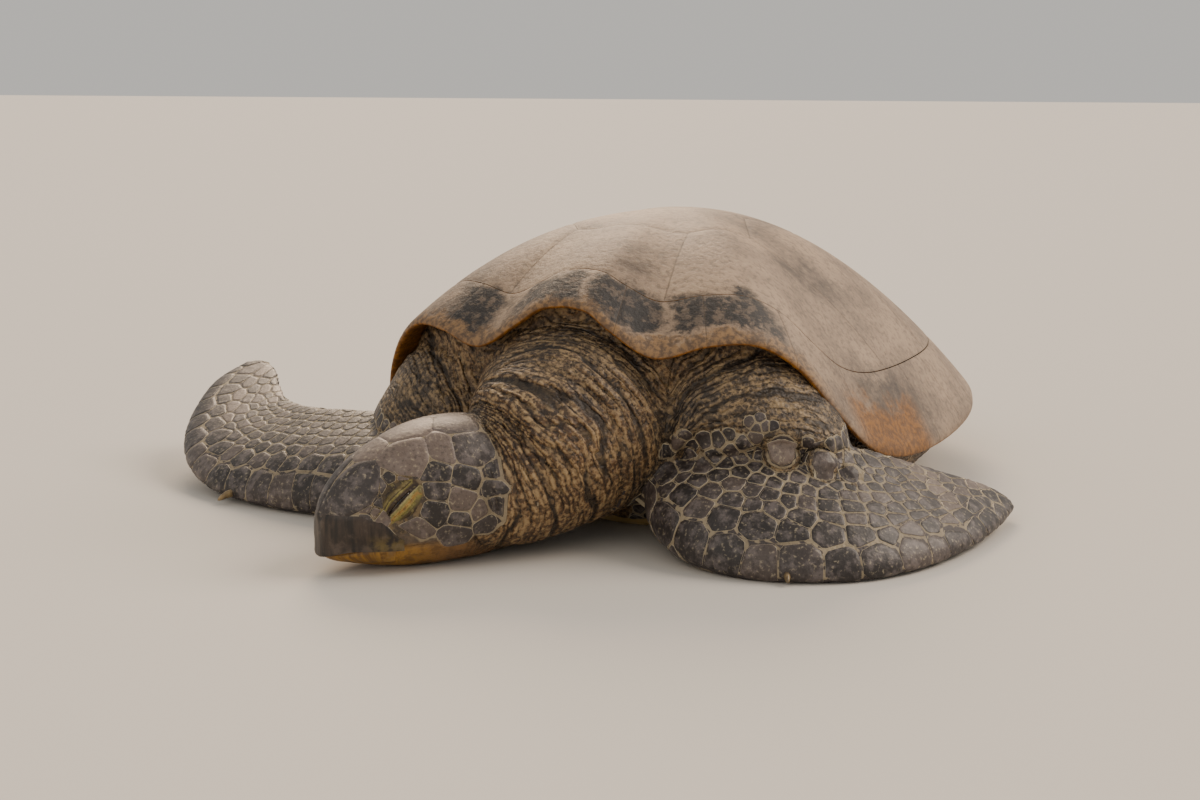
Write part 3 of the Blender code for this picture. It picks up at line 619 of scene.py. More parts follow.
@dataclass
class Region:
    """One lofted part of the body, as the skin's sculpting reads it."""

    name: str
    form: OvalForm | BladeForm | SkullForm
    folds: FoldStyle
    kind: str

    def measure(self, points: Array) -> tuple[Array, Array, Array]:
        """Locates points against this part.

        Args:
            points: Places in the body's frame.

        Returns:
            How far out each lies (1 on the part's surface), its distance along the part
            and its angle round it.
        """
        if isinstance(self.form, SkullForm):
            return self.measure_head(points)
        if isinstance(self.form, OvalForm):
            values, along, across, up = self.form.table(40)
            centre, wide, high = values[:, :3], values[:, 3], values[:, 4]
        else:
            lead, chord, along, up, thick = self.form.stations(40)
            centre, wide = lead + chord / 2, np.linalg.norm(chord, axis=1) / 2
            across, high = unit(chord), thick * 0.7 + 0.006
        run = running_length(centre)
        best = np.full(len(points), 1e9)
        found = np.zeros((len(points), 3))
        for k in range(len(centre) - 1):
            step = centre[k + 1] - centre[k]
            t = np.clip((points - centre[k]) @ step / (step @ step), 0, 1)
            offset = points - centre[k] - t[:, None] * step
            far = np.einsum("ij,ij->i", offset, offset)
            x = offset @ (across[k] + across[k + 1]) / 2
            z = offset @ (up[k] + up[k + 1]) / 2
            slip = offset @ along[k]
            w = wide[k] + (wide[k + 1] - wide[k]) * t
            h = high[k] + (high[k + 1] - high[k]) * t
            out = np.sqrt((x / w) ** 2 + (z / h) ** 2 + (slip / np.minimum(w, 0.06)) ** 2)
            nearer = far < best
            best = np.where(nearer, far, best)
            round_it = np.arctan2(z / h, x / w)
            values_here = np.stack([out, run[k] + (run[k + 1] - run[k]) * t, round_it], -1)
            found = np.where(nearer[:, None], values_here, found)
        return found[:, 0], found[:, 1], found[:, 2]

    def measure_head(self, points: Array) -> tuple[Array, Array, Array]:
        """The same for the head, in its own frame."""
        local = HEAD.to_head(points)
        table = spline(HEAD.rows, 200)
        along = np.clip(local[:, 0], 0, table[-1, 0])
        wide, crown, middle, jaw = (np.interp(along, table[:, 0], table[:, k])
                                    for k in range(1, 5))
        rise = local[:, 2] - middle
        high = np.where(rise > 0, crown - middle, middle - jaw)
        slip = (local[:, 0] - along) / 0.05
        out = np.sqrt((local[:, 1] / wide) ** 2 + (rise / high) ** 2 + slip ** 2)
        return out, along, np.arctan2(local[:, 1] / wide, rise / high)


REGIONS = (
    Region("head", HEAD, FoldStyle(0.0), "head"),
    Region("neck", NECK, FoldStyle(1.0, 0.0120, ((0.120, 0.010, 0.0050), (0.168, 0.007, 0.0050))),
           "fold"),
    Region("arm_left", ARM_LEFT, FoldStyle(1.0, 0.0115, ((0.060, 0.008, 0.0030),)), "fold"),
    Region("arm_right", ARM_RIGHT, FoldStyle(0.9, 0.0115, ((0.070, 0.008, 0.0030),)), "fold"),
    Region("thigh_left", THIGH_LEFT, FoldStyle(0.6), "fold"),
    Region("thigh_right", THIGH_RIGHT, FoldStyle(0.6), "fold"),
    Region("tail", TAIL, FoldStyle(0.5, 0.0090), "fold"),
    Region("blade_left", BLADE_LEFT, FoldStyle(0.0), "blade"),
    Region("blade_right", BLADE_RIGHT, FoldStyle(0.0), "blade"),
    Region("foot_left", FOOT_LEFT, FoldStyle(0.0), "blade"),
    Region("foot_right", FOOT_RIGHT, FoldStyle(0.0), "blade"),
)


@dataclass(frozen=True)
class EyeSetting:
    """Where the eyes sit in the head's frame and how their lids lie; sizes in metres."""

    centre: tuple[float, float, float] = (0.1565, 0.0395, 0.0758)
    outward: tuple[float, float, float] = (0.365, 0.910, 0.200)
    slit: tuple[float, float, float] = (-0.685, 0.177, 0.707)   # from its front to its rear corner
    lid_radius: float = 0.0237
    ball_radius: float = 0.0218
    opening: float = math.radians(2.6)       # half width of the slit at its middle
    reach: float = math.radians(56)          # from the middle to either corner
    bow: float = math.radians(4.0)           # how far the slit's middle bows upwards
    lid_long: float = math.radians(64)       # half angles of the lids, along and across the slit
    lid_high: float = math.radians(50)
    pleat: float = math.radians(9.0)         # from one pleat of the lids to the next
    pleat_depth: float = 0.0006
    lip: float = 0.0012                      # height of the lids' rolled edges
    crease: float = 0.0020                   # depth of the furrow round the lids

    def axes(self, side: int) -> tuple[Array, Array, Array, Array]:
        """The eye on one side.

        Args:
            side: 1 for the left, -1 for the right.

        Returns:
            Centre, outward axis, axis along the slit and axis towards the upper lid.
        """
        mirror = np.array([1.0, side, 1.0])
        out = unit(np.array(self.outward) * mirror)
        slit = np.array(self.slit) * mirror
        slit = unit(slit - out * (slit @ out))
        upper = np.cross(out, slit) * side
        upper = upper if upper[0] + upper[2] > 0 else -upper
        return np.array(self.centre) * mirror, out, slit, upper


EYE = EyeSetting()
# Horny knobs on the left elbow: centre in the body's frame, and radius; and the way that they face.
KNOBS: Rows = ((0.244, -0.404, 0.106, 0.0230), (0.284, -0.393, 0.099, 0.0215),
               (0.315, -0.377, 0.088, 0.0150))
KNOB_WAY = np.array([0.32, -0.77, 0.55])


@dataclass(frozen=True)
class MouthLine:
    """The gape, in the head's frame: from the snout back to the corner of the mouth."""

    front: float = 0.231
    rear: float = 0.118
    front_height: float = 0.0235
    rear_height: float = 0.0330
    groove: float = 0.0030
    width: float = 0.0022
    fade: float = 0.012                      # how far past its corner the gape runs out
    lip: float = 0.0012                      # how far the jaw lies back below the gape
    nostril: tuple[float, float, float] = (0.232, 0.0085, 0.0640)
    nostril_size: tuple[float, float, float] = (0.010, 0.0028, 0.0022)
    nostril_depth: float = 0.0035

    def height(self, along: Array) -> Array:
        """Height of the gape at distances from the head's rear."""
        share = np.clip((self.front - along) / (self.front - self.rear), 0, 1.3)
        return self.front_height + (self.rear_height - self.front_height) * share ** 1.4


MOUTH = MouthLine()


@dataclass
class Skin:
    """The turtle's one skin: lofts joined, smoothed, folded and pressed round the eyes."""

    voxel: float = 0.0028
    most_triangles: int = 128_000
    coat: float = 0.0007                     # the lofts lie this far inside the solids
    belly: float = 0.014
    roof_depth: float = 0.0200
    flank_share: float = 0.92
    flank_drop: float = 0.60
    brow_share: float = 0.925
    brow_depth: float = 0.0120
    broad: float = 0.0046                    # the folds' heights, from the widest to the finest
    main: float = 0.0030
    fine: float = 0.0011
    warps: Rows = ((0.012, 0.075), (0.0045, 0.028), (0.0015, 0.011))   # how the folds wander
    tree: BVHTree | None = None              # the finished surface, for what is laid on it

    def wall_rings(self) -> Array:
        """Works out the body wall inside the shell.

        Returns:
            Rings of points from its crown down to the belly.
        """
        left = np.linspace(0, 1, 110)
        share = np.concatenate([left, left[-2:0:-1]])
        side = np.concatenate([np.ones(110), -np.ones(108)])
        rings = []
        for rho in (0.02, 0.2, 0.4, 0.55, 0.65, 0.75, 0.82, 0.88):
            rings.append(SHELL.point(*SHELL.plan(share, rho, side), self.roof_depth))
        brow = SHELL.point(*SHELL.plan(share, self.brow_share, side), self.brow_depth)
        rings.append(brow)
        for drop, rho in ((0.85, 0.930), (self.flank_drop, self.flank_share), (0.3, 0.88)):
            height = self.belly + (brow[:, 2] - self.belly) * drop
            rings.append(np.stack([*SHELL.plan(share, rho, side), height], -1))
        for rho, height in ((0.79, 0.011), (0.74, 0.007), (0.4, 0.007)):
            level = np.full(len(share), height)
            rings.append(np.stack([*SHELL.plan(share, rho, side), level], -1))
        return np.array(rings)

    def rough_form(self) -> bpy.types.Object:
        """All lofts as one object of overlapping closed forms."""
        stacks = [self.wall_rings(), HEAD.rings(60, 72, self.coat)]
        for region in REGIONS[1:]:
            sides = 56 if region.kind == "fold" else 96
            stacks.append(region.form.rings(64, sides, self.coat))
        points, faces, count = [], [], 0
        for stack in stacks:
            corners, shell = tube_mesh(stack)
            points.append(corners)
            faces += [tuple(k + count for k in face) for face in shell]
            count += len(corners)
        return faced_outwards(new_object("skin", np.vstack(points), faces))

    def remesh(self, target: bpy.types.Object) -> None:
        """Joins the lofts into one even surface, with few faces where the shell hides it.

        Args:
            target: The lofts, which become the skin.
        """
        join = target.modifiers.new("join", "REMESH")
        join.mode = "VOXEL"
        join.voxel_size = self.voxel
        bake_modifiers(target)
        points = self.relaxed(target.data, corners_of(target.data), 4, np.ones(1))
        set_corners(target.data, points)
        rho = SHELL.rho_of(points[:, 0], points[:, 1])
        roof = SHELL.height(points[:, 0], points[:, 1]) - points[:, 2]
        under_shell = (rho < 0.9) & (roof < 0.05) & (roof > 0.008)
        under_belly = (points[:, 2] < 0.0125) & (rho < 0.78)
        weight, _, _ = self.region_fields(points)
        folded = np.array([region.kind == "fold" for region in REGIONS] + [False])
        loose = weight[folded].sum(0)
        quiet = (points[:, 1] > 0.05) | (points[:, 2] < 0.004)
        plain = np.where(quiet, 0.7, 0.5 * (1 - ease(0.1, 0.4, loose)))
        plain = np.where(under_shell | under_belly, 1.0, plain)
        group = target.vertex_groups.new(name="plain")
        for level in np.unique(np.round(plain, 1)):
            chosen = np.flatnonzero(np.abs(np.round(plain, 1) - level) < 0.01)
            group.add(chosen.tolist(), float(level), "REPLACE")
        thin = target.modifiers.new("thin", "DECIMATE")
        thin.vertex_group = group.name
        thin.ratio = min(1.0, self.most_triangles / (2 * len(target.data.polygons)))
        bake_modifiers(target)
        target.vertex_groups.clear()

    @staticmethod
    def relaxed(mesh: bpy.types.Mesh, points: Array, rounds: int, strength: Array,
                hold: float = 1.03) -> Array:
        """Smooths points over the mesh's edges without shrinking the form.

        Args:
            mesh: Whose edges join the points.
            points: Vertex places.
            rounds: How many double passes.
            strength: How much each point takes part, from 0 to 1.
            hold: The return pass against the first; 0 lets the form shrink.

        Returns:
            The new places.
        """
        first, second = read_all(mesh.edges, "vertices", np.int32, 2).T
        count = sum(np.bincount(ends, minlength=len(points)) for ends in (first, second))
        count = np.maximum(count, 1)[:, None]
        for step in (0.5, -0.5 * hold) * rounds:
            total = np.stack([np.bincount(first, points[second, k], len(points))
                              + np.bincount(second, points[first, k], len(points))
                              for k in range(3)], -1)
            points = points + (total / count - points) * step * np.reshape(strength, (-1, 1))
        return points

    @staticmethod
    def refine(target: bpy.types.Object, chosen: Callable[[Array], Array], rounds: int) -> None:
        """Splits the faces round chosen points into smaller ones.

        Args:
            target: The skin.
            chosen: Says which of an array of points to refine.
            rounds: How many times the faces there are halved.
        """
        work = bmesh.new()
        work.from_mesh(target.data)
        for _ in range(rounds):
            places = np.array([v.co for v in work.verts])
            inside = chosen(places)
            work.verts.ensure_lookup_table()
            edges = [edge for edge in work.edges if all(inside[v.index] for v in edge.verts)]
            bmesh.ops.subdivide_edges(work, edges=edges, cuts=1, use_grid_fill=True)
            bmesh.ops.triangulate(work, faces=[f for f in work.faces if len(f.verts) > 3])
            work.verts.index_update()
        work.to_mesh(target.data)
        work.free()

    @staticmethod
    def near_details(points: Array) -> Array:
        """Which points lie by the lids."""
        local = HEAD.to_head(points)
        near = np.zeros(len(points), bool)
        for side in (1, -1):
            centre, *_ = EYE.axes(side)
            near |= np.linalg.norm(local - centre, axis=1) < 0.0300
        return near

    @staticmethod
    def near_gape(points: Array) -> Array:
        """Which points lie by the gape or the nostrils."""
        along, across, high = HEAD.to_head(points).T
        off = np.abs(high - MOUTH.height(along))
        inside = (along > MOUTH.rear - MOUTH.fade) & (along < 0.25) & (np.abs(across) < 0.08)
        return inside & ((off < 0.008) | (along > 0.222))

    def region_fields(self, points: Array) -> tuple[Array, Array, Array]:
        """Weighs the body's regions at points.

        Args:
            points: Places in the body's frame.

        Returns:
            Weights by region (the body wall last), distances along and round each region.
        """
        outs, runs, rounds = [], [], []
        for region in REGIONS:
            out, run, turn = region.measure(points)
            outs.append(out)
            runs.append(run)
            rounds.append(turn)
        rho = SHELL.rho_of(points[:, 0], points[:, 1])
        outs.append(np.full(len(points), 1.25))
        runs.append(points[:, 2] + 0.35 * rho)
        rounds.append(SHELL.share_of(points[:, 0], points[:, 1]) * 12)
        out = np.maximum(np.array(outs), 0.85)
        weight = np.exp(-(out - out.min(0)) / 0.10)
        return weight / weight.sum(0), np.array(runs), np.array(rounds)

    def fold(self, points: Array, weight: Array, runs: Array,
             rounds: Array) -> tuple[Array, Array]:
        """Works out the folds of loose skin.

        Args:
            points: Places in the body's frame.
            weight: Region weights.
            runs: Distances along the regions.
            rounds: Angles round them.

        Returns:
            How far each point stands out, and its height between crease and ridge.
        """
        warp = sum(depth * noise(points, size, seed)
                   for seed, (depth, size) in enumerate(self.warps, 1))
        rise, level = np.zeros(len(points)), np.zeros(len(points))
        styles = [region.folds for region in REGIONS] + [FoldStyle(0.55)]
        for style, share, run, turn in zip(styles, weight, runs, rounds):
            if style.strength == 0:
                continue
            slant = 0.006 * np.sin(turn)
            broad = ridges((run + slant + 1.5 * warp) / (style.spacing * 3.1))
            main = ridges((run + warp) / style.spacing)
            turns = (run - slant + 0.8 * warp) / (style.spacing * 0.6)
            fine = 0.5 - 0.5 * np.cos(turns * 2 * math.pi)
            mix = self.broad * (broad - 0.8) + self.main * (main - 0.7) + self.fine * (fine - 0.5)
            for place, width, depth in style.grooves:
                mix -= depth * np.exp(-((run + slant + 0.7 * warp - place) / width) ** 2)
            level += share * style.strength * (0.7 * broad + 0.9 * main + 0.25 * fine - 1.1)
            rise += share * style.strength * mix
        return rise * (0.75 + 0.45 * noise(points, 0.06, 5)), level

    def press_lids(self, points: Array) -> tuple[Array, dict[str, Array]]:
        """Rounds the lids over the eyes and opens the slit between them.

        Args:
            points: Places in the body's frame.

        Returns:
            The new places, and numbers for the material: how much each belongs to a lid,
            its angle from the slit and how near the lids it lies.
        """
        local = HEAD.to_head(points)
        lid, from_slit, near_lid = np.zeros((3, len(points)))
        for side in (1, -1):
            centre, out, slit, upper = EYE.axes(side)
            offset = local - centre
            distance = np.linalg.norm(offset, axis=1)
            direction = offset / np.maximum(distance, 1e-9)[:, None]
            facing = np.arccos(np.clip(direction @ out, -1, 1))
            near = (distance < 0.034) & (facing < math.radians(80))
            along = np.arctan2(direction @ slit, direction @ out)
            across = np.arctan2(direction @ upper, direction @ out)
            bow = EYE.bow * (1 - (along / EYE.reach) ** 2)
            shift = across - bow
            wide = EYE.opening * np.sqrt(np.clip(1 - (along / EYE.reach) ** 2, 0, 1))
            oval = np.sqrt((along / EYE.lid_long) ** 2 + (shift / EYE.lid_high) ** 2)
            share = (1 - ease(0.66, 1.10, oval)) * near
            off = np.abs(shift)
            pleats = EYE.pleat_depth * np.cos(shift / EYE.pleat * 2 * math.pi)
            pleats = pleats * ease(0.14, 0.22, off)
            lip = EYE.lip * np.exp(-((off - wide - math.radians(3.0)) / math.radians(2.6)) ** 2)
            sheet = EYE.lid_radius + (pleats + lip) * ease(1.05, 0.75, oval)
            inside = ease(-math.radians(1.0), math.radians(1.6), wide - off)
            inside = inside * (np.abs(along) < EYE.reach)
            radius = sheet - inside * (EYE.lid_radius - EYE.ball_radius + 0.0010)
            moved = centre + direction * radius[:, None]
            crease = EYE.crease * np.exp(-((oval - 1.04) / 0.09) ** 2) * near
            local = local + (moved - local) * share[:, None] - direction * crease[:, None]
            near_lid = np.maximum(near_lid, ease(0.043, 0.026, distance))
            lid = np.maximum(lid, (1 - ease(0.95, 1.10, oval)) * near)
            from_slit = np.where(near, shift, from_slit)
        return HEAD.to_body(local), {"lid_share": lid, "lid_angle": from_slit,
                                     "lid_near": near_lid}

    def cut_gape(self, points: Array, normals: Array, head: Array) -> Array:
        """Presses the gape and the nostrils into the head.

        Args:
            points: Places in the body's frame.
            normals: Surface directions there.
            head: How much each point belongs to the head.

        Returns:
            The new places.
        """
        local = HEAD.to_head(points)
        off = local[:, 2] - MOUTH.height(local[:, 0])
        shown = ease(MOUTH.rear - MOUTH.fade, MOUTH.rear + MOUTH.fade, local[:, 0]) * head
        depth = MOUTH.groove * np.exp(-(off / MOUTH.width) ** 2)
        depth += MOUTH.lip * ease(0.002, -0.004, off) * ease(-0.035, -0.015, off)
        depth = depth * shown
        for side in (1, -1):
            nostril = np.array(MOUTH.nostril) * (1, side, 1)
            gap = (local - nostril) / np.array(MOUTH.nostril_size)
            depth += MOUTH.nostril_depth * np.exp(-np.einsum("ij,ij->i", gap, gap)) * head
        return points - normals * depth[:, None]

    @staticmethod
    def knobbed(points: Array) -> Array:
        """Pushes points out into the round lumps of the left elbow."""
        for *place, radius in KNOBS:
            offset = points - np.array(place)
            far = np.maximum(np.linalg.norm(offset, axis=1), 1e-6)
            outer = (offset @ KNOB_WAY > -0.6 * radius) * (far < radius)
            points = points + offset / far[:, None] * ((radius - far) * outer)[:, None]
        return points

    def build(self) -> bpy.types.Object:
        """Makes the skin.

        Returns:
            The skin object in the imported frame, with the numbers that its material reads.
        """
        target = self.rough_form()
        self.remesh(target)
        self.refine(target, self.near_gape, 1)
        self.refine(target, self.near_details, 2)
        mesh = target.data
        points = corners_of(mesh)
        weight, _, _ = self.region_fields(points)
        blended = ease(0.98, 0.6, weight.max(0)) * (1 - weight[0])
        points = self.relaxed(mesh, points, 30, blended, 0.6)
        points = self.relaxed(mesh, points, 2, np.ones(1))
        set_corners(mesh, points)
        weight, runs, rounds = self.region_fields(points)
        rise, level = self.fold(points, weight, runs, rounds)
        named = {region.name: k for k, region in enumerate(REGIONS)}
        arms = [named["arm_left"], named["arm_right"]]
        blade = weight[[k for k, region in enumerate(REGIONS) if region.kind == "blade"]].sum(0)
        on_arm, arm_run = weight[arms].sum(0), np.where(np.greater(*weight[arms]), *runs[arms])
        scaly = np.maximum(ease(0.15, 0.5, blade),
                           ease(0.155, 0.185, arm_run) * ease(0.2, 0.5, on_arm))
        rise = rise * (1 - 0.85 * scaly)
        plan = points[:, 0], points[:, 1]
        under_shell = (ease(0.99, 0.93, SHELL.rho_of(*plan))
                       * ease(0.035, 0.012, SHELL.height(*plan) - points[:, 2]))
        points = self.knobbed(points + normals_of(mesh) * (rise * (1 - under_shell))[:, None])
        set_corners(mesh, points)
        points = self.cut_gape(points, normals_of(mesh), weight[0])
        points, lid_numbers = self.press_lids(points)
        points[:, 2] = np.maximum(points[:, 2], 0.0)
        numbers = {"arm_run": np.where(on_arm > 0.12, arm_run, 0.0), "head_share": weight[0],
                   "blade_share": blade, "fold_level": level, **lid_numbers,
                   "run": np.take_along_axis(runs, weight.argmax(0)[None], 0)[0],
                   "neck_reach": weight[named["neck"]] * runs[named["neck"]]}
        for title, values in numbers.items():
            add_number(mesh, title, values)
        add_vector(mesh, "head_place", HEAD.to_head(points))
        set_corners(mesh, points + SHIFT)
        self.tree = BVHTree.FromPolygons((points + SHIFT).tolist(),
                                         [tuple(face.vertices) for face in mesh.polygons])
        LOG.info("skin: %d triangles", triangle_count(mesh))
        return target


# --------------------------------------------------------------- horn plates
def segment_distance(points: Array, start: Array, end: Array) -> Array:
    """Distance from plan points to the nearest of many straight segments."""
    best = np.full(len(points), 1e9)
    for a, b in zip(start, end):
        step = b - a
        t = np.clip((points - a) @ step / max(step @ step, 1e-12), 0, 1)
        best = np.minimum(best, np.linalg.norm(points - a - t[:, None] * step, axis=1))
    return best


def inside_outline(points: Array, outline: Array) -> Array:
    """Which plan points lie inside a closed outline."""
    hit = np.zeros(len(points), bool)
    for (x1, y1), (x2, y2) in zip(outline, np.roll(outline, -1, axis=0)):
        if y1 != y2:
            crosses = (y1 > points[:, 1]) != (y2 > points[:, 1])
            hit ^= crosses & (points[:, 0] < x1 + (x2 - x1) * (points[:, 1] - y1) / (y2 - y1))
    return hit


def drawn_in(outline: Array, distance: float) -> Array:
    """A counter-clockwise outline moved inwards."""
    into = unit(outline - np.roll(outline, 1, axis=0))
    out = unit(np.roll(outline, -1, axis=0) - outline)
    first, second = np.stack([-into[:, 1], into[:, 0]], -1), np.stack([-out[:, 1], out[:, 0]], -1)
    middle = unit(first + second)
    return outline + middle * (distance / np.maximum((middle * first).sum(1), 0.5))[:, None]


def counter_clockwise(outline: Sequence[Sequence[float]]) -> Array:
    """The outline as an array that runs counter-clockwise."""
    points = np.asarray(outline, float)
    after = np.roll(points, -1, axis=0)
    area = (points[:, 0] * after[:, 1] - after[:, 0] * points[:, 1]).sum()
    return points if area > 0 else points[::-1]


def plan_line(start: Sequence[float], end: Sequence[float],
              step: float) -> list[tuple[float, float]]:
    """Points of a straight seam, step apart, without its last one."""
    count = max(1, round(math.dist(start, end) / step))
    return [tuple(np.add(start, np.multiply(np.subtract(end, start), k / count)))
            for k in range(count)]


Surface = Callable[[Array, Array, Array], Array]


@dataclass
class Slab:
    """A plate cut to a plan outline, with rounded edges above and flat sides."""

    name: str
    outline: Array
    upper: Surface
    lower: Surface
    seam: float = 0.00015
    spacing: float = 0.011
    edge_steps: tuple[float, ...] = (0.0012, 0.0028, 0.0055)   # rings of points in from the edge

    def build(self) -> bpy.types.Object:
        """Makes the plate.

        Returns:
            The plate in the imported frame, with its distance from the seam at each point.
        """
        edge = drawn_in(self.outline, self.seam)
        after = np.roll(edge, -1, axis=0)
        low, high = edge.min(0), edge.max(0)
        rows = np.arange(low[1], high[1], self.spacing * 0.87)
        across = np.arange(low[0], high[0], self.spacing)
        grid = np.array([(x + self.spacing / 2 * (k % 2), y)
                         for k, y in enumerate(rows) for x in across])
        plan = edge
        for inner, least in (*((drawn_in(edge, gap), 0.0008) for gap in self.edge_steps),
                             (grid, self.edge_steps[-1] + self.spacing * 0.5)):
            clear = segment_distance(inner, edge, after) > least
            plan = np.vstack([plan, inner[inside_outline(inner, edge) & clear]])
        count, total = len(edge), len(plan)
        loop = list(range(count))
        _, _, faces, source, *_ = delaunay_2d_cdt(
            [Vector(p) for p in plan], list(zip(loop, loop[1:] + loop[:1])), [], 1, 1e-8)
        first = [origin[0] for origin in source]
        faces = [tuple(first[k] for k in face) for face in faces]
        gap = segment_distance(plan, edge, after)
        top, bottom = self.upper(*plan.T, gap), self.lower(*plan.T, gap)
        shell = faces + [tuple(k + total for k in reversed(face)) for face in faces]
        shell += [(k, k + total, (k + 1) % count + total, (k + 1) % count) for k in range(count)]
        made = new_object(self.name, np.vstack([top, bottom]) + SHIFT, shell)
        made.data.set_sharp_from_angle(angle=HORN_CREASE)
        add_number(made.data, "from_seam", np.concatenate([gap, gap]))
        add_vector(made.data, "shell_place", np.tile(shell_place(*plan.T), (2, 1)))
        return made


def shell_place(x: Array, y: Array) -> Array:
    """Where plan points lie on the shell: rim share, negative on the right, and radius share."""
    side = np.where(x < 0, -1.0, 1.0)
    return np.stack([side * SHELL.share_of(x, y), SHELL.rho_of(x, y), np.zeros(len(x))], -1)


@dataclass
class Carapace:
    """The shell's horn plates: nuchal, five vertebrals, eight costals and 24 marginals."""

    thickness: float = 0.0085
    shoulder: float = 0.0060                 # width over which a plate's edge rounds down
    sink: float = 0.0005                     # how far it rounds down at the seam
    step: float = 0.009
    costal_starts: tuple[int, ...] = (1, 5, 7, 9, 11)
    vertebral_seams: Rows = ((0.072, -0.245), (0.082, -0.075), (0.072, 0.090), (0.048, 0.232))
    vertebral_corners: Rows = ((0.122, -0.165), (0.126, 0.005), (0.106, 0.165))
    # Cross-section of the marginal ring: share of the radius, depth below the dome.
    ring_section: Rows = ((0.83, 0.0), (0.90, 0.0), (0.965, 0.0), (0.984, 0.0004), (0.995, 0.0020),
                          (0.9995, 0.0046), (0.996, 0.0078), (0.984, 0.0102), (0.955, 0.0128),
                          (0.92, 0.0144), (0.83, 0.0160))

    def edge_sink(self, gap: Array) -> Array:
        """How far the surface lies below the dome at distances from the seam."""
        near = np.clip(1 - gap / self.shoulder, 0, 1)
        return self.sink * near ** 2.2

    def upper(self, x: Array, y: Array, gap: Array) -> Array:
        """The plates' outer surface."""
        ripple = 0.00016 * np.sin(gap / 0.0085 * 2 * math.pi) * ease(0.06, 0.02, gap)
        return SHELL.point(x, y, self.edge_sink(gap) + ripple)

    def lower(self, x: Array, y: Array, gap: Array) -> Array:
        """The plates' inner surface."""
        return SHELL.point(x, y, self.thickness)

    def ring_line(self, first: float, last: float) -> list[tuple[float, float]]:
        """The ring's inner seam on the left, between two marginal seams counted in plates."""
        low, high = SHELL.seam(first) if first > 0 else 0.0, SHELL.seam(last)
        count = max(2, round((high - low) * 1.1 / self.step))
        share = np.linspace(low, high, count + 1)
        return [tuple(p) for p in np.stack(SHELL.plan(share, SHELL.ring), -1)]

    def outlines(self) -> dict[str, Array]:
        """Plan outline of each vertebral and costal plate."""
        middles = [index - 0.5 for index in self.costal_starts]
        starts = [tuple(np.stack(SHELL.plan(np.array(SHELL.seam(m)), SHELL.ring), -1))
                  for m in middles]
        seams, corners = self.vertebral_seams, self.vertebral_corners

        def line(*stops: Sequence[float]) -> list[tuple[float, float]]:
            """Straight seams from stop to stop, without the last stop."""
            return [p for a, b in zip(stops, stops[1:]) for p in plan_line(a, b, self.step)]

        def other(points: Iterable[Sequence[float]]) -> list[tuple[float, float]]:
            """The points on the right side, in reverse order."""
            return [(-x, y) for x, y in points][::-1]

        plates = {}
        half = self.ring_line(0, middles[0])[:-1] + line(starts[0], seams[0])
        across = line(seams[0], (-seams[0][0], seams[0][1])) + [(-seams[0][0], seams[0][1])]
        plates["vertebral_scute_1"] = half + across + other(half[1:])
        for k in range(3):
            left = [seams[k], corners[k], seams[k + 1]]
            plates[f"vertebral_scute_{k + 2}"] = line(*left, *other(left), left[0])
        half = line(seams[3], starts[4]) + self.ring_line(middles[4], 12)
        across = line((-seams[3][0], seams[3][1]), seams[3])
        plates["vertebral_scute_5"] = across + half + other(half[1:-1])
        for k in range(4):
            inner = [starts[k + 1]] + ([corners[k]] if k < 3 else [])
            inner += [seams[min(k, 3)]] + ([corners[k - 1]] if k > 0 else []) + [starts[k]]
            outline = self.ring_line(middles[k], middles[k + 1])[:-1] + line(*inner)
            plates[f"costal_scute_left_{k + 1}"] = outline
            plates[f"costal_scute_right_{k + 1}"] = other(outline)
        return {name: counter_clockwise(outline) for name, outline in plates.items()}

    def ring_plate(self, name: str, first: float, last: float, side: int) -> bpy.types.Object:
        """Makes one plate of the marginal ring.

        Args:
            name: The plate's name.
            first: Rim share where it starts; negative for the nuchal plate's other half.
            last: Rim share where it ends.
            side: 1 on the left, -1 on the right.

        Returns:
            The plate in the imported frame.
        """
        rim_length = 1.30
        back = 0.00015 / rim_length
        share = np.linspace(first + back, last - back, 30)
        soft = np.array([0.0012, 0.0030, 0.0055]) / rim_length
        share = np.unique(np.concatenate([share, first + back + soft, last - back - soft]))
        end_gap = np.minimum(share - first, last - share) * rim_length
        section = spline(self.ring_section, 46)
        section[0, 0] += 0.0015
        rings, gaps = [], []
        for rho, depth in section:
            inner_gap = np.full(len(share), (rho - SHELL.ring) * 0.32)
            gap = np.minimum(end_gap, inner_gap)
            plan = SHELL.plan(np.abs(share), rho, side * np.where(share < 0, -1, 1))
            rings.append(SHELL.point(*plan, depth + self.edge_sink(gap)))
            gaps.append(gap)
        points = np.moveaxis(np.array(rings), 0, 1)
        flat, faces = tube_mesh(points)
        made = faced_outwards(new_object(name, flat + SHIFT, faces))
        made.data.set_sharp_from_angle(angle=HORN_CREASE)
        add_number(made.data, "from_seam", np.array(gaps).T.ravel())
        add_vector(made.data, "shell_place", shell_place(*flat[:, :2].T))
        return made

    def build(self) -> dict[str, bpy.types.Object]:
        """Makes every horn plate, keyed by the CAD node that it stands for."""
        made = {name: Slab(f"{name}_horn", outline, self.upper, self.lower).build()
                for name, outline in self.outlines().items()}
        made["nuchal_scute"] = self.ring_plate("nuchal_scute_horn", -SHELL.nuchal, SHELL.nuchal, 1)
        for index in range(SHELL.marginals):
            for side, word in ((1, "left"), (-1, "right")):
                name = f"marginal_scute_{word}_{index + 1}"
                made[name] = self.ring_plate(f"{name}_horn", SHELL.seam(index),
                                             SHELL.seam(index + 1), side)
        return made


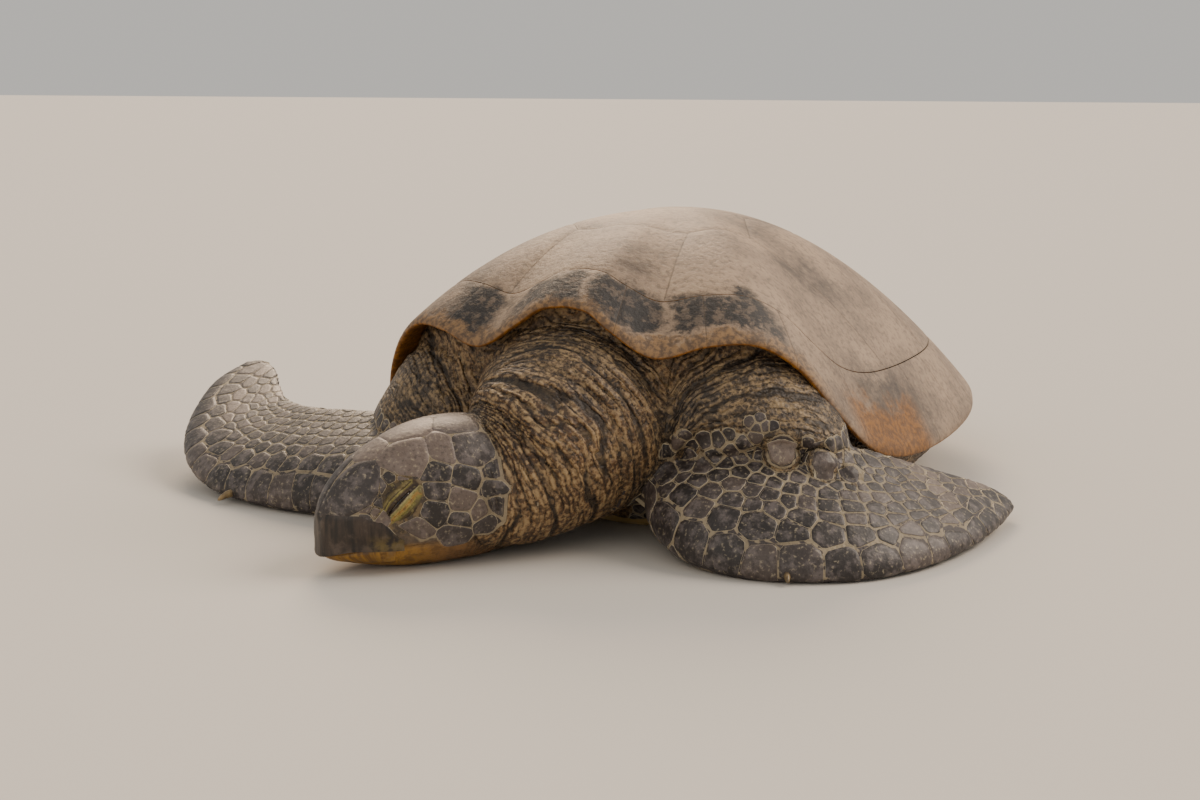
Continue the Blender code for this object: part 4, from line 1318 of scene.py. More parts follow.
@dataclass
class Plastron:
    """The belly's pale horn plates, in six pairs."""

    thickness: float = 0.014
    outer: float = 0.785
    seams: tuple[float, ...] = (-0.255, -0.145, -0.010, 0.120, 0.215)

    def lower(self, x: Array, y: Array, gap: Array) -> Array:
        """The underside: flat on the floor, turned up towards the outer edge."""
        rim = np.clip((SHELL.rho_of(x, y) - 0.73) / 0.055, 0, 1)
        lift = 0.0065 * rim ** 1.6 + 0.0010 * np.clip(1 - gap / 0.005, 0, 1) ** 2
        return np.stack([x, y, lift], -1)

    def upper(self, x: Array, y: Array, gap: Array) -> Array:
        """The inner face, under the skin."""
        return np.stack([x, y, np.full_like(x, self.thickness - 0.001)], -1)

    def build(self) -> bpy.types.Object:
        """Makes all belly plates as one object."""
        share = np.linspace(0, 1, 400)
        rim = np.stack(SHELL.plan(share, self.outer), -1)
        rim = rim[rim[:, 1].argmin():rim[:, 1].argmax() + 1]
        ends = (rim[0, 1] + 0.001, *self.seams, rim[-1, 1] - 0.001)
        parts = []
        for k, (front, rear) in enumerate(zip(ends, ends[1:])):
            band = rim[(rim[:, 1] > front) & (rim[:, 1] < rear)][::6]
            at_front = np.array([np.interp(front, rim[:, 1], rim[:, 0]), front])
            at_rear = np.array([np.interp(rear, rim[:, 1], rim[:, 0]), rear])
            stops = [(0, rear), (0, front), tuple(at_front)]
            outline = [p for a, b in zip(stops, stops[1:]) for p in plan_line(a, b, 0.012)]
            outline += [tuple(at_front)] + [tuple(p) for p in band[1:-1]]
            outline += plan_line(at_rear, (0, rear), 0.012)
            for side in (1, -1):
                loop = counter_clockwise([(side * x, y) for x, y in outline])
                parts.append(Slab(f"belly_{k}_{side}", loop, self.upper, self.lower,
                                  spacing=0.014).build())
        return joined(parts, "belly_plates")


def joined(parts: Sequence[bpy.types.Object], name: str) -> bpy.types.Object:
    """Joins objects into the first of them, under a new name."""
    with bpy.context.temp_override(active_object=parts[0], selected_editable_objects=list(parts)):
        bpy.ops.object.join()
    parts[0].name = parts[0].data.name = name
    return parts[0]


# --------------------------------------------------------------- beak, jaw, eyes, claws
@dataclass
class Sheath:
    """A horn sheath wrapped round the front of the head over the skin.

    low and high give its lower and upper border at a heading, in the head's frame.
    """

    name: str
    low: Callable[[Array], Array]
    high: Callable[[Array], Array]
    reach: float                             # heading of its rear ends, in radians
    height: float = 0.0013
    lip: float = 0.0010                      # extra thickness at the biting edge
    biting_edge_low: bool = True
    plumb_from: float = 0.036                # below this height the sheath hangs straight down
    axis_at: float = 0.150
    girth: float = 0.06                      # metres round the sheath for each radian of heading
    root: float = 0.0040                     # how deep its inner face lies under the skin
    ray_length: float = 0.2

    def build(self, skin: BVHTree) -> bpy.types.Object:
        """Makes the sheath on the skin's surface.

        Args:
            skin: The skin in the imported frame.

        Returns:
            The closed sheath, with its heading and height stored for its material.
        """
        headings, levels = np.linspace(-self.reach, self.reach, 81), np.linspace(0, 1, 17)
        outer, inner, numbers = [], [], []
        turn = HEAD.matrix()

        def on_axis(height: float) -> Vector:
            """The place on the head's axis that rays start from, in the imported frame."""
            return Vector(HEAD.to_body(np.array([[self.axis_at, 0.0, height]]))[0] + SHIFT)

        for heading in headings:
            bottom, top = (float(line(np.array(heading))) for line in (self.low, self.high))
            ray = Vector(turn @ np.array([math.cos(heading), math.sin(heading), 0.0]))
            _, _, _, plumb = skin.ray_cast(on_axis(self.plumb_from), ray, self.ray_length)
            for level in levels:
                z = bottom + (top - bottom) * level
                hit, _, _, far = skin.ray_cast(on_axis(z), ray, self.ray_length)
                if hit is None or (z < self.plumb_from and far < plumb):
                    hit = on_axis(z) + ray * plumb
                rim = min(min(level, 1 - level) * (top - bottom),
                          (self.reach - abs(heading)) * self.girth)
                rise = self.height * float(ease(0.0, 0.004, np.array(rim)))
                bite = level if self.biting_edge_low else 1 - level
                rise += self.lip * math.exp(-(bite * (top - bottom) / 0.004) ** 2)
                outer.append(hit + ray * (rise + 0.0002))
                inner.append(hit - ray * self.root)
                numbers.append((heading * self.girth, z, rim))
        rows, columns = len(headings), len(levels)
        faces = grid_faces(rows, columns, 0, False)
        count = rows * columns
        faces += [tuple(k + count for k in reversed(face)) for face in faces]
        last = (rows - 1) * columns
        border = [(r, r + columns) for r in range(0, last, columns)]
        border += [(r + 2 * columns - 1, r + columns - 1) for r in range(0, last, columns)]
        border += [(c + 1, c) for c in range(columns - 1)]
        border += [(last + c, last + c + 1) for c in range(columns - 1)]
        faces += [(a, b, b + count, a + count) for a, b in border]
        made = faced_outwards(new_object(self.name, np.array(outer + inner), faces))
        made.data.set_sharp_from_angle(angle=math.radians(60))
        add_vector(made.data, "grain", np.array(numbers + numbers))
        return made


def eyeball(name: str, side: int) -> bpy.types.Object:
    """Makes the ball behind the lids.

    Args:
        name: The piece's name.
        side: 1 for the left eye, -1 for the right.

    Returns:
        The ball, with the angle from its axis stored for its material.
    """
    centre, out, slit, upper = EYE.axes(side)
    rows, columns = 26, 40
    polar = np.linspace(0.02, math.pi - 0.02, rows)[:, None, None]
    turn = full_turn(columns)[None, :, None]
    local = np.cos(polar) * out + np.sin(polar) * (np.cos(turn) * slit + np.sin(turn) * upper)
    ball = HEAD.to_body((centre + local * EYE.ball_radius).reshape(-1, 3))
    points, faces = tube_mesh(ball.reshape(rows, columns, 3))
    made = faced_outwards(new_object(name, points + SHIFT, faces))
    axis = HEAD.matrix() @ out
    middle = HEAD.to_body(centre[None])[0] + SHIFT
    facing = unit(corners_of(made.data) - middle) @ axis
    add_number(made.data, "off_axis", np.arccos(np.clip(facing, -1, 1)))
    return made


def claw(name: str, base: Sequence[float], tip: Sequence[float],
         radius: float = 0.0050) -> bpy.types.Object:
    """Makes a short blunt claw that curves down from base to tip.

    Args:
        name: The piece's name.
        base: Where it leaves the skin, in the body's frame.
        tip: Where it ends.
        radius: Its thickness at the root.

    Returns:
        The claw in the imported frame.
    """
    root, bow, flat, off_floor = 0.006, 0.0022, 0.85, 0.0003
    start, end = np.array(base), np.array(tip)
    along = unit(end - start)
    across = unit(np.cross(along, (0, 0, 1.0)))
    up = np.cross(across, along)
    t = np.linspace(0, 1, 14)
    centre = start - along * root + (end - start + along * root) * t[:, None]
    centre = centre + up * (bow * np.sin(math.pi * t))[:, None]
    thick = radius * np.sqrt(np.clip(1 - t ** 2.2, 0.004, 1))
    turn = full_turn(20)[None, :, None]
    ring = across * np.cos(turn) * flat + up * np.sin(turn)
    points, faces = tube_mesh(centre[:, None] + ring * thick[:, None, None])
    points[:, 2] = np.maximum(points[:, 2], off_floor)
    return faced_outwards(new_object(name, points + SHIFT, faces))


# --------------------------------------------------------------- raised scales
@dataclass
class ScaleBed:
    """Seeds of scales on the skin: where each lies, its size and which way it is drawn out."""

    places: Array
    normals: Array
    radii: Array
    lie: Array
    stretch: Array
    built: Array                             # False where bare skin keeps its room
    chart: Array                             # metres along and round the form, for the bake map
    pallor: Array                             # how pale each scale is, from 0 to 1
    reach: Array                             # farthest that each spreads, by its radius
    bounds: Array | None = None              # two directions for each, and how far it may spread
    bend: float = 0.2                        # radius of the curve that the scales bend over
    longest: float = 0.008                   # longest straight edge, so outlines follow the skin
    least: float = 0.0035                    # narrowest scale that is built
    cut: float = 0.14                        # how much of each side goes when corners are cut

    def outline(self, k: int, gap: float, rounding: int) -> Array | None:
        """Works out one scale's outline among its neighbours.

        Args:
            k: The scale's number.
            gap: Width of skin left between scales.
            rounding: How many times its corners are cut.

        Returns:
            Points on the plane that touches the skin at its seed, or None if no room is left.
        """
        normal, radius = self.normals[k], self.radii[k]
        first = unit(self.lie[k] - normal * (self.lie[k] @ normal))
        second = np.cross(normal, first)
        offset = self.places - self.places[k]
        far = np.linalg.norm(offset, axis=1)
        near = (far < 2.4 * (self.radii + radius)) & (far > 1e-6) & (self.normals @ normal > 0.0)
        flat = np.stack([offset[near] @ first, offset[near] @ second], -1)
        flat = unit(flat) * far[near][:, None]
        flat[:, 0] /= self.stretch[k]
        turn = full_turn(14)
        shape = radius * self.reach[k] * np.stack([np.cos(turn), np.sin(turn)], -1)
        gap = min(gap, 0.13 * radius)
        for *way, limit in () if self.bounds is None else self.bounds[k]:
            toward = np.array([way @ first * self.stretch[k], way @ second])
            steep = float(np.linalg.norm(toward))
            shape = clipped(shape, toward / steep, limit / steep)
        for other, size in zip(flat, self.radii[near]):
            reach = math.hypot(*other)
            limit = (reach ** 2 + radius ** 2 - size ** 2) / (2 * reach) - gap / 2
            shape = clipped(shape, other / reach, limit)
            if len(shape) < 3:
                return None
        shape[:, 0] *= self.stretch[k]
        if np.ptp(shape, axis=0).min() < self.least:
            return None
        shape *= 1 + (np.linalg.norm(shape, axis=1, keepdims=True) / self.bend) ** 2 / 3
        keep, cut = 1 - self.cut, self.cut
        for _ in range(rounding):
            after = np.roll(shape, -1, axis=0)
            shape = np.stack([shape * keep + after * cut, shape * cut + after * keep], 1)
            shape = shape.reshape(-1, 2)
        after = np.roll(shape, -1, axis=0)
        parts = np.ceil(np.linalg.norm(after - shape, axis=1) / self.longest).astype(int)
        shape = np.concatenate([a + (b - a) * (np.arange(n) / n)[:, None]
                                for a, b, n in zip(shape, after, parts)])
        return self.places[k] + shape[:, :1] * first + shape[:, 1:] * second

    def cell_mesh(self, name: str, gap: float, rounding: int) -> bpy.types.Object:
        """Makes all outlines as flat faces.

        Args:
            name: The object's name.
            gap: Width of skin left between scales.
            rounding: How many times corners are cut.

        Returns:
            The faces as one object, each with its scale's number and a tone of its own.
        """
        points, faces, numbers = [], [], []
        for k in np.flatnonzero(self.built):
            shape = self.outline(k, gap, rounding)
            if shape is not None:
                faces.append(tuple(range(len(points), len(points) + len(shape))))
                points += shape.tolist()
                numbers.append(k)
        made = new_object(name, np.array(points), faces)
        tones = lattice(np.array([(k, 7 * k, 3) for k in numbers], np.int64), 11)
        tones = np.minimum(tones + 1.1 * self.pallor[numbers], 1.5)
        for title, kind, values in (("cell", "INT", numbers), ("tone", "FLOAT", tones)):
            made.data.attributes.new(title, kind, "FACE").data.foreach_set("value", values)
        return made


def clipped(shape: Array, direction: Array, limit: float) -> Array:
    """Cuts a convex outline by a straight line.

    Args:
        shape: The outline's points.
        direction: Unit vector across the line.
        limit: How far the outline may reach in that direction.

    Returns:
        What is left of it, which may be nothing.
    """
    beyond = shape @ direction - limit
    if (beyond <= 0).all():
        return shape
    kept = []
    for k in range(len(shape)):
        after = (k + 1) % len(shape)
        if beyond[k] <= 0:
            kept.append(shape[k])
        if (beyond[k] <= 0) != (beyond[after] <= 0):
            share = beyond[k] / (beyond[k] - beyond[after])
            kept.append(shape[k] + (shape[after] - shape[k]) * share)
    return np.array(kept) if kept else np.empty((0, 2))


class NodeMaker:
    """Adds nodes to one tree."""

    def __init__(self, tree: bpy.types.NodeTree) -> None:
        """Keeps the tree."""
        self.tree = tree

    def node(self, kind: str, links: dict | None = None, **settings: object) -> bpy.types.Node:
        """Adds a node.

        Args:
            kind: Blender's name for the node type.
            links: For each input, by name or number, a value or the socket that feeds it.
            settings: Properties of the node itself.

        Returns:
            The node.
        """
        made = self.tree.nodes.new(kind)
        for name, value in settings.items():
            setattr(made, name, value)
        for key, value in (links or {}).items():
            if isinstance(value, bpy.types.NodeSocket):
                self.tree.links.new(value, made.inputs[key])
            else:
                made.inputs[key].default_value = value
        return made

    def sums(self, work: str, *values: Socket | float) -> Socket:
        """One arithmetic step."""
        return self.node("ShaderNodeMath", dict(enumerate(values)), operation=work).outputs[0]

    def times(self, *values: Socket | float) -> Socket:
        """The product of two values."""
        return self.sums("MULTIPLY", *values)


class ScaleTree(NodeMaker):
    """A Geometry Nodes tree that raises flat outlines into domed scales on the skin."""

    # Each ring in from the one before: by metres, or by a share of its size; then its height.
    STEPS = ((0.00045, 0.55), (0.0006, 0.88), (0.80, 1.0), (0.74, 1.0), (0.64, 1.0), (0.45, 1.0))
    # The underside's rings: share of the size of the ring before, and height (deeper is less).
    UNDER = ((0.75, -0.6), (0.6, -1.2), (0.5, -2.0))
    LEAST = 0.92                             # least share of its size that a ring in metres keeps
    ROOT_DEPTH = 0.0006

    def __init__(self) -> None:
        """Builds the tree with its named inputs."""
        super().__init__(bpy.data.node_groups.new("raised_scales", "GeometryNodeTree"))
        face = self.tree.interface
        for title, kind in (("Outlines", "Geometry"), ("Skin", "Object"), ("Height", "Float"),
                            ("Root Depth", "Float"), ("Finish", "Material")):
            face.new_socket(title, in_out="INPUT", socket_type=f"NodeSocket{kind}")
        face.new_socket("Scales", in_out="OUTPUT", socket_type="NodeSocketGeometry")
        entry = self.node("NodeGroupInput").outputs
        leave = self.node("NodeGroupOutput")
        skin = self.node("GeometryNodeObjectInfo", {"Object": entry["Skin"]}).outputs["Geometry"]
        shape = self.ringed(entry["Outlines"], self.STEPS)
        root = self.ringed(entry["Outlines"], self.UNDER)
        base = self.node("GeometryNodeFlipFaces", {"Mesh": root})
        both = self.node("GeometryNodeJoinGeometry")
        self.tree.links.new(base.outputs[0], both.inputs[0])
        self.tree.links.new(shape, both.inputs[0])
        welded = self.node("GeometryNodeMergeByDistance",
                           {"Geometry": both.outputs[0], "Distance": 1e-6})
        level = self.node("GeometryNodeInputNamedAttribute", {"Name": "rise"}, data_type="FLOAT")
        above = self.sums("MULTIPLY_ADD", level.outputs[0],
                          self.sums("ADD", entry["Height"], entry["Root Depth"]),
                          self.times(entry["Root Depth"], -1.0))
        spot, facing = (
            self.node("GeometryNodeSampleNearestSurface",
                      {"Mesh": skin, "Value": self.node(f"GeometryNodeInput{kind}").outputs[0]},
                      data_type="FLOAT_VECTOR").outputs[0]
            for kind in ("Position", "Normal"))
        raised = self.node("ShaderNodeVectorMath", {0: facing, "Scale": above}, operation="SCALE")
        landed = self.node("ShaderNodeVectorMath", {0: spot, 1: raised.outputs[0]},
                           operation="ADD")
        moved = self.node("GeometryNodeSetPosition",
                          {"Geometry": welded.outputs[0], "Position": landed.outputs[0]})
        real = self.node("GeometryNodeRealizeInstances", {"Geometry": moved.outputs[0]})
        dressed = self.node("GeometryNodeSetMaterial",
                            {"Geometry": real.outputs[0], "Material": entry["Finish"]})
        self.tree.links.new(dressed.outputs[0], leave.inputs[0])

    def ringed(self, shape: Socket, steps: Rows) -> Socket:
        """Sets rings inside every face, each with its own height.

        Args:
            shape: The faces.
            steps: For each ring, its size against the one before and its height.

        Returns:
            The faces with their rings.
        """
        stored = "GeometryNodeStoreNamedAttribute"
        shape = self.node(stored, {"Geometry": shape, "Name": "rise", "Value": 0.0}).outputs[0]
        top = True
        for size, rise in steps:
            if size < 0.1:
                area = self.node("GeometryNodeInputMeshFaceArea").outputs[0]
                share = self.sums("DIVIDE", size * math.sqrt(math.pi),
                                  self.sums("POWER", area, 0.5))
                size = self.sums("MAXIMUM", self.sums("SUBTRACT", 1.0, share), self.LEAST)
            grown = self.node("GeometryNodeExtrudeMesh", {"Mesh": shape, "Selection": top,
                                                          "Offset Scale": 0.0, "Individual": True},
                              mode="FACES")
            top = grown.outputs["Top"]
            sized = self.node("GeometryNodeScaleElements", {"Geometry": grown.outputs["Mesh"],
                                                            "Selection": top, "Scale": size},
                              domain="FACE")
            shape = self.node(stored, {"Geometry": sized.outputs[0], "Selection": top,
                                       "Name": "rise", "Value": rise}).outputs[0]
        return shape

    def raise_scales(self, bed: ScaleBed, cells: bpy.types.Object, skin: bpy.types.Object,
                     height: float, finish: bpy.types.Material) -> bpy.types.Object:
        """Turns flat outlines into scales.

        Args:
            bed: The seeds, for the bake map.
            cells: The outlines.
            skin: The skin they lie on.
            height: How far their crowns stand above it.
            finish: Their material.

        Returns:
            The same object as a plain mesh of closed scales.
        """
        modifier = cells.modifiers.new("scales", "NODES")
        modifier.node_group = self.tree
        values = {"Skin": skin, "Height": height, "Root Depth": self.ROOT_DEPTH, "Finish": finish}
        for item in self.tree.interface.items_tree:
            if item.in_out == "INPUT" and item.name in values:
                modifier[item.identifier] = values[item.name]
        bake_modifiers(cells)
        points = corners_of(cells.data)
        points[:, 2] = np.maximum(points[:, 2], 0.0)
        set_corners(cells.data, points)
        cells.data.shade_smooth()
        cells.data.set_sharp_from_angle(angle=SCALE_CREASE)
        bake_map(cells.data, bed)
        return painted(cells, finish)


def bake_map(mesh: bpy.types.Mesh, bed: ScaleBed) -> None:
    """Gives each scale a small patch at its root's place on the skin form's unwrap.

    Args:
        mesh: The scales.
        bed: Their seeds.
    """
    patch, border = 0.0015, 0.02
    low, high = bed.chart.min(0), bed.chart.max(0)
    roots = border + (1 - 2 * border) * (bed.chart - low) / max(high - low)
    cell = read_all(mesh.attributes["cell"].data, "value", np.int32)
    cell = np.repeat(cell, read_all(mesh.polygons, "loop_total", np.int32))
    offset = corners_of(mesh)[read_all(mesh.loops, "vertex_index", np.int32)] - bed.places[cell]
    normal, lie = bed.normals[cell], bed.lie[cell]
    first = unit(lie - normal * (lie * normal).sum(1, keepdims=True))
    second = np.cross(normal, first)
    reach = (bed.radii * bed.stretch)[cell][:, None] * 1.3
    flat = np.stack([(offset * first).sum(1), (offset * second).sum(1)], -1) / reach
    uv = roots[cell] + np.clip(flat, -1, 1) * patch
    layer = mesh.uv_layers.new(name=BAKE_MAP)
    layer.uv.foreach_set("vector", uv.astype(np.float32).ravel())


def painted(piece: bpy.types.Object, material: bpy.types.Material) -> bpy.types.Object:
    """Gives the piece one material."""
    piece.data.materials.clear()
    piece.data.materials.append(material)
    return piece


@dataclass
class HeadScales:
    """The head's horny shields, placed by distance from its rear and angle from the crown.

    Rows hold distance, angle in degrees and radius; paired ones are on both sides.
    """

    middle: Rows = ((0.171, 0, 0.0130), (0.133, 0, 0.0240), (0.201, 46, 0.0235),
                    (0.204, -36, 0.0260))
    paired: Rows = (
        (0.150, 39, 0.0210), (0.080, 16, 0.0200), (0.112, 44, 0.0135),
        (0.080, 47, 0.0210), (0.123, 61, 0.0105), (0.092, 70, 0.0140), (0.062, 68, 0.0085),
        (0.067, 79, 0.0100), (0.054, 89, 0.0095), (0.126, 76, 0.0105), (0.100, 83, 0.0130),
        (0.079, 91, 0.0095), (0.130, 88, 0.0115), (0.103, 94, 0.0085), (0.072, 99, 0.0105),
        (0.147, 96, 0.0095), (0.107, 107, 0.0140), (0.169, 55, 0.0050), (0.161, 58, 0.0040),
        (0.180, 58, 0.0050), (0.188, 63, 0.0050), (0.185, 71, 0.0045), (0.195, 74, 0.0048),
        (0.189, 79, 0.0048), (0.182, 86, 0.0048), (0.196, 82, 0.0042),
    )
    # Bare skin: the lids, the beak, the gape, and the edge of the neck.
    bare: Rows = ((0.1610, 76, 0.0200), (0.216, 100, 0.0020), (0.195, 106, 0.0060),
                  (0.175, 104, 0.0070), (0.155, 106, 0.0090), (0.014, 16, 0.0190),
                  (0.014, 46, 0.0210), (0.032, 68, 0.0085), (0.038, 89, 0.0095),
                  (0.046, 107, 0.0105), (0.075, 121, 0.0100), (0.103, 131, 0.0140),
                  (0.131, 120, 0.0110))
    gap: float = 0.0009
    height: float = 0.0008

    def bed(self, skin: BVHTree) -> ScaleBed:
        """Places the seeds on the skin.

        Args:
            skin: The skin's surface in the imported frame.

        Returns:
            The bed of the head's scales.
        """
        rows = [(*row, True) for row in self.middle]
        for group, built in ((self.paired, True), (self.bare, False)):
            for along, angle, radius in group:
                rows += [(along, angle, radius, built), (along, -angle, radius, built)]
        along, angle, radii, built = (np.array(column, float) for column in zip(*rows))
        places = HEAD.surface(along, np.radians(angle)) + SHIFT
        hits = [skin.find_nearest(Vector(p)) for p in places]
        places, normals = (np.array([hit[part] for hit in hits]) for part in (0, 1))
        lie = np.tile(HEAD.matrix() @ np.array([1.0, 0, 0]), (len(rows), 1))
        chart = np.stack([along, np.radians(angle) * 0.075], -1)
        # The scales grow paler towards the crown of the head.
        return ScaleBed(places, normals, radii, lie, np.ones(len(rows)), built > 0, chart,
                        0.45 + 0.85 * ease(40, 5, np.abs(angle)), np.full(len(rows), 2.3),
                        bend=0.048)


@dataclass
class BladeScales:
    """Scales of a flipper: rows that run out along the blade, smaller towards its rear edge.

    Rows hold distance from the leading edge, spacing and radius; the lower side has rows too.
    """

    form: BladeForm
    size: float = 1.0
    seed: int = 3
    upper: Rows = ((0.010, 0.035, 0.0260), (0.051, 0.028, 0.0165), (0.071, 0.023, 0.0125),
                   (0.092, 0.020, 0.0110), (0.111, 0.018, 0.0100), (0.128, 0.017, 0.0095),
                   (0.144, 0.016, 0.0090), (0.159, 0.016, 0.0090), (0.174, 0.016, 0.0090))
    under: Rows = ((0.024, 0.034, 0.0200), (0.056, 0.028, 0.0160), (0.080, 0.025, 0.0140),
                   (0.104, 0.023, 0.0125), (0.126, 0.021, 0.0115), (0.147, 0.021, 0.0115))
    gap: float = 0.0010
    height: float = 0.0008
    off_form: float = 0.016                  # how far the skin may stand off the blade's own form
    cuff: float = 9.0                        # distance along the arm where its small scales start
    root_edge: float = 0.014                 # how far from the blade's root its rows start
    cuff_reach: float = 0.26                 # how far from the blade's root they go
    smallest: float = 0.0042                 # their least radius
    dome_pallor: float = 1.1                   # how pale the plates on the elbow's lumps are
    knobs: Rows = ()                         # plates at the elbow: place x, y, z and radius

    def row_seeds(self, side: int, distance: float, spacing: float, radius: float,
                  row: int) -> list:
        """Places seeds along one row.

        Args:
            side: 1 on the upper face, -1 on the lower.
            distance: From the leading edge.
            spacing: From seed to seed.
            radius: The scales' size.
            row: The row's number.

        Returns:
            For each seed its place, direction, lie, radius, stretch, chart place, pallor, bounds.
        """
        lead, chord, along, up, thick = self.form.stations(160)
        width = np.linalg.norm(chord, axis=1)
        share = np.minimum(distance * self.size / width, 1.0)
        full, rim = np.moveaxis(self.form.section(share), -1, 0)
        half = 0.5 * (thick * full + self.form.edge * rim)
        places = lead + chord * share[:, None] + up * (side * half)[:, None]
        run = running_length(lead + chord / 2)
        seeds, at = [], spacing * (0.3 + 0.5 * (row % 2))
        while at < run[-1] - 0.004:
            k = int(np.searchsorted(run, at))
            key = np.array([[row * 91 + side, int(at * 1e4), self.seed]], np.int64)
            shake, drift, grow = (float(lattice(key, s)[0]) for s in (1, 2, 3))
            taper = (0.50 + 0.50 * min(1.0, width[k] / 0.150)) * self.size
            streak = float(ease(0.35, 0.75, np.array(run[k] / run[-1]))
                           * ease(0.03, 0.09, np.array(distance)))
            if share[k] < 1 - 0.004 / width[k] and run[k] > self.root_edge * self.size:
                place = (places[k] + along[k] * spacing * 0.16 * shake
                         + unit(chord[k]) * spacing * 0.14 * drift)
                inward = 0.010 if side > 0 else -0.005
                ahead = (distance + 0.14 * spacing * drift) * self.size + inward
                bound = ((*-unit(chord[k]), max(ahead, 0.002)),
                         (*-along[k], max(run[k] - 0.008, 0.004)))
                seeds.append((place, up[k] * side, along[k], radius * taper * (1 + 0.14 * grow),
                              1 + 0.9 * streak, (run[k], side * (distance + 0.005)), streak,
                              bound))
            at += spacing * taper * (1 + 0.20 * grow) * (1 + 0.8 * streak)
        return seeds

    def cuff_seeds(self, skin: bpy.types.Mesh, taken: list) -> list:
        """Strews small scales over the elbow, wherever no row of the blade has reached.

        Args:
            skin: The skin's mesh.
            taken: Seeds already placed.

        Returns:
            More seeds, each as a row of the bed.
        """
        points, normals = corners_of(skin), normals_of(skin)
        blade, arm = (read_number(skin, title) for title in ("blade_share", "arm_run"))
        lead, _, along, _, _ = self.form.stations(2)
        root, way = lead[0] + SHIFT, along[0]
        ragged = arm + 0.02 * noise(points, 0.04, 8)
        open_skin = (((ragged > self.cuff) | (blade > 0.3))
                     & (np.linalg.norm(points - root, axis=1) < self.cuff_reach)
                     & (points[:, 0] * root[0] > 0) & (points[:, 2] > 0.012))
        chosen = np.flatnonzero(open_skin)
        mixed = lattice(np.stack([chosen, chosen * 3, chosen * 7], -1), self.seed)
        made = self.domes(skin)
        held = [(seed[0], seed[3]) for seed in taken] + [(seed[0], seed[2]) for seed in made]
        places, reach = (np.array(column) for column in zip(*held))
        for k in chosen[np.argsort(mixed)]:
            radius = self.smallest + self.smallest * float(ease(0.1, 0.7, blade[k]))
            far = np.linalg.norm(places - points[k], axis=1)
            if (far > 0.92 * (reach + radius)).all():
                made.append((points[k], normals[k], radius))
                places, reach = np.vstack([places, points[k]]), np.append(reach, radius)
        return [(place, normal, way, radius, 1.0,
                 (-self.cuff_reach + way @ (place - root), place[1] - root[1]),
                 self.dome_pallor if k < len(self.knobs) else 0.15, ((*way, 1.0), (*way, 1.0)))
                for k, (place, normal, radius) in enumerate(made)]

    def domes(self, skin: bpy.types.Mesh) -> list:
        """Place, direction and radius of the plate on each of the elbow's lumps."""
        points, normals, made = corners_of(skin), normals_of(skin), []
        for *place, radius in self.knobs:
            crown = np.array(place) + KNOB_WAY * radius + SHIFT
            k = int(np.linalg.norm(points - crown, axis=1).argmin())
            made.append((points[k], normals[k], radius))
        return made

    def bed(self, skin: BVHTree, mesh: bpy.types.Mesh) -> ScaleBed:
        """Places the seeds on the skin, leaving out those inside the body.

        Args:
            skin: The skin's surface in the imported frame.
            mesh: The skin's mesh.

        Returns:
            The bed of the flipper's scales.
        """
        seeds, domes = [], self.domes(mesh)
        for side, rows in ((1, self.upper), (-1, self.under)):
            for row, (distance, spacing, radius) in enumerate(rows):
                seeds += self.row_seeds(side, distance, spacing, radius, row)
        kept, blade = [], read_number(mesh, "blade_share")
        for place, normal, *rest in seeds:
            place = place + SHIFT
            hit, facing, face, far = skin.find_nearest(Vector(place))
            on_blade = blade[mesh.polygons[face].vertices[0]] > 0.4
            clear = all(np.linalg.norm(place - crown) > 0.90 * radius
                        for crown, _, radius in domes)
            if far < self.off_form and facing.dot(Vector(normal)) > 0.35 and on_blade and clear:
                kept.append((np.array(hit), np.array(facing), *rest))
        if self.cuff < 1:
            kept += self.cuff_seeds(mesh, kept)
        places, normals, lie, radii, stretch, chart, pallor, bounds = (
            np.array(column) for column in zip(*kept))
        reach = np.where(pallor < self.dome_pallor, 1.75, 0.80)
        return ScaleBed(places, normals, radii, lie, stretch, np.ones(len(kept), bool), chart,
                        pallor, reach, bounds)


# --------------------------------------------------------------- finishes
def linear(code: str, opacity: float = 1.0) -> tuple[float, float, float, float]:
    """An sRGB hex colour as linear values."""
    parts = [int(code[k:k + 2], 16) / 255 for k in (1, 3, 5)]
    return (*(p / 12.92 if p <= 0.04045 else ((p + 0.055) / 1.055) ** 2.4 for p in parts), opacity)


@dataclass(frozen=True)
class Finish:
    """A surface's plain values: colours from dark to pale, and how rough it is."""

    colours: tuple[str, ...]
    roughness: float
    specular: float = 0.5


class Surfacing(Enum):
    """Every finish of the model."""

    SKIN = Finish(("#1a1410", "#4a3727", "#6f5233", "#a58c66", "#998b72"), 0.60)
    SCALE = Finish(("#211c1b", "#3e3736", "#716866", "#bdb094"), 0.48)
    SHELL = Finish(("#242120", "#7a6858", "#a99179", "#a9672c"), 0.58)
    BELLY = Finish(("#8f7648", "#b39c6c", "#c4b189"), 0.50)
    BEAK = Finish(("#17120f", "#3b2f26", "#6b5a2e"), 0.42)
    JAW = Finish(("#684a22", "#a1772e", "#b58a3c"), 0.46)
    EYE = Finish(("#060505", "#1d130c", "#5a4630"), 0.06)
    CLAW = Finish(("#4b3e2e", "#9b845b"), 0.38)


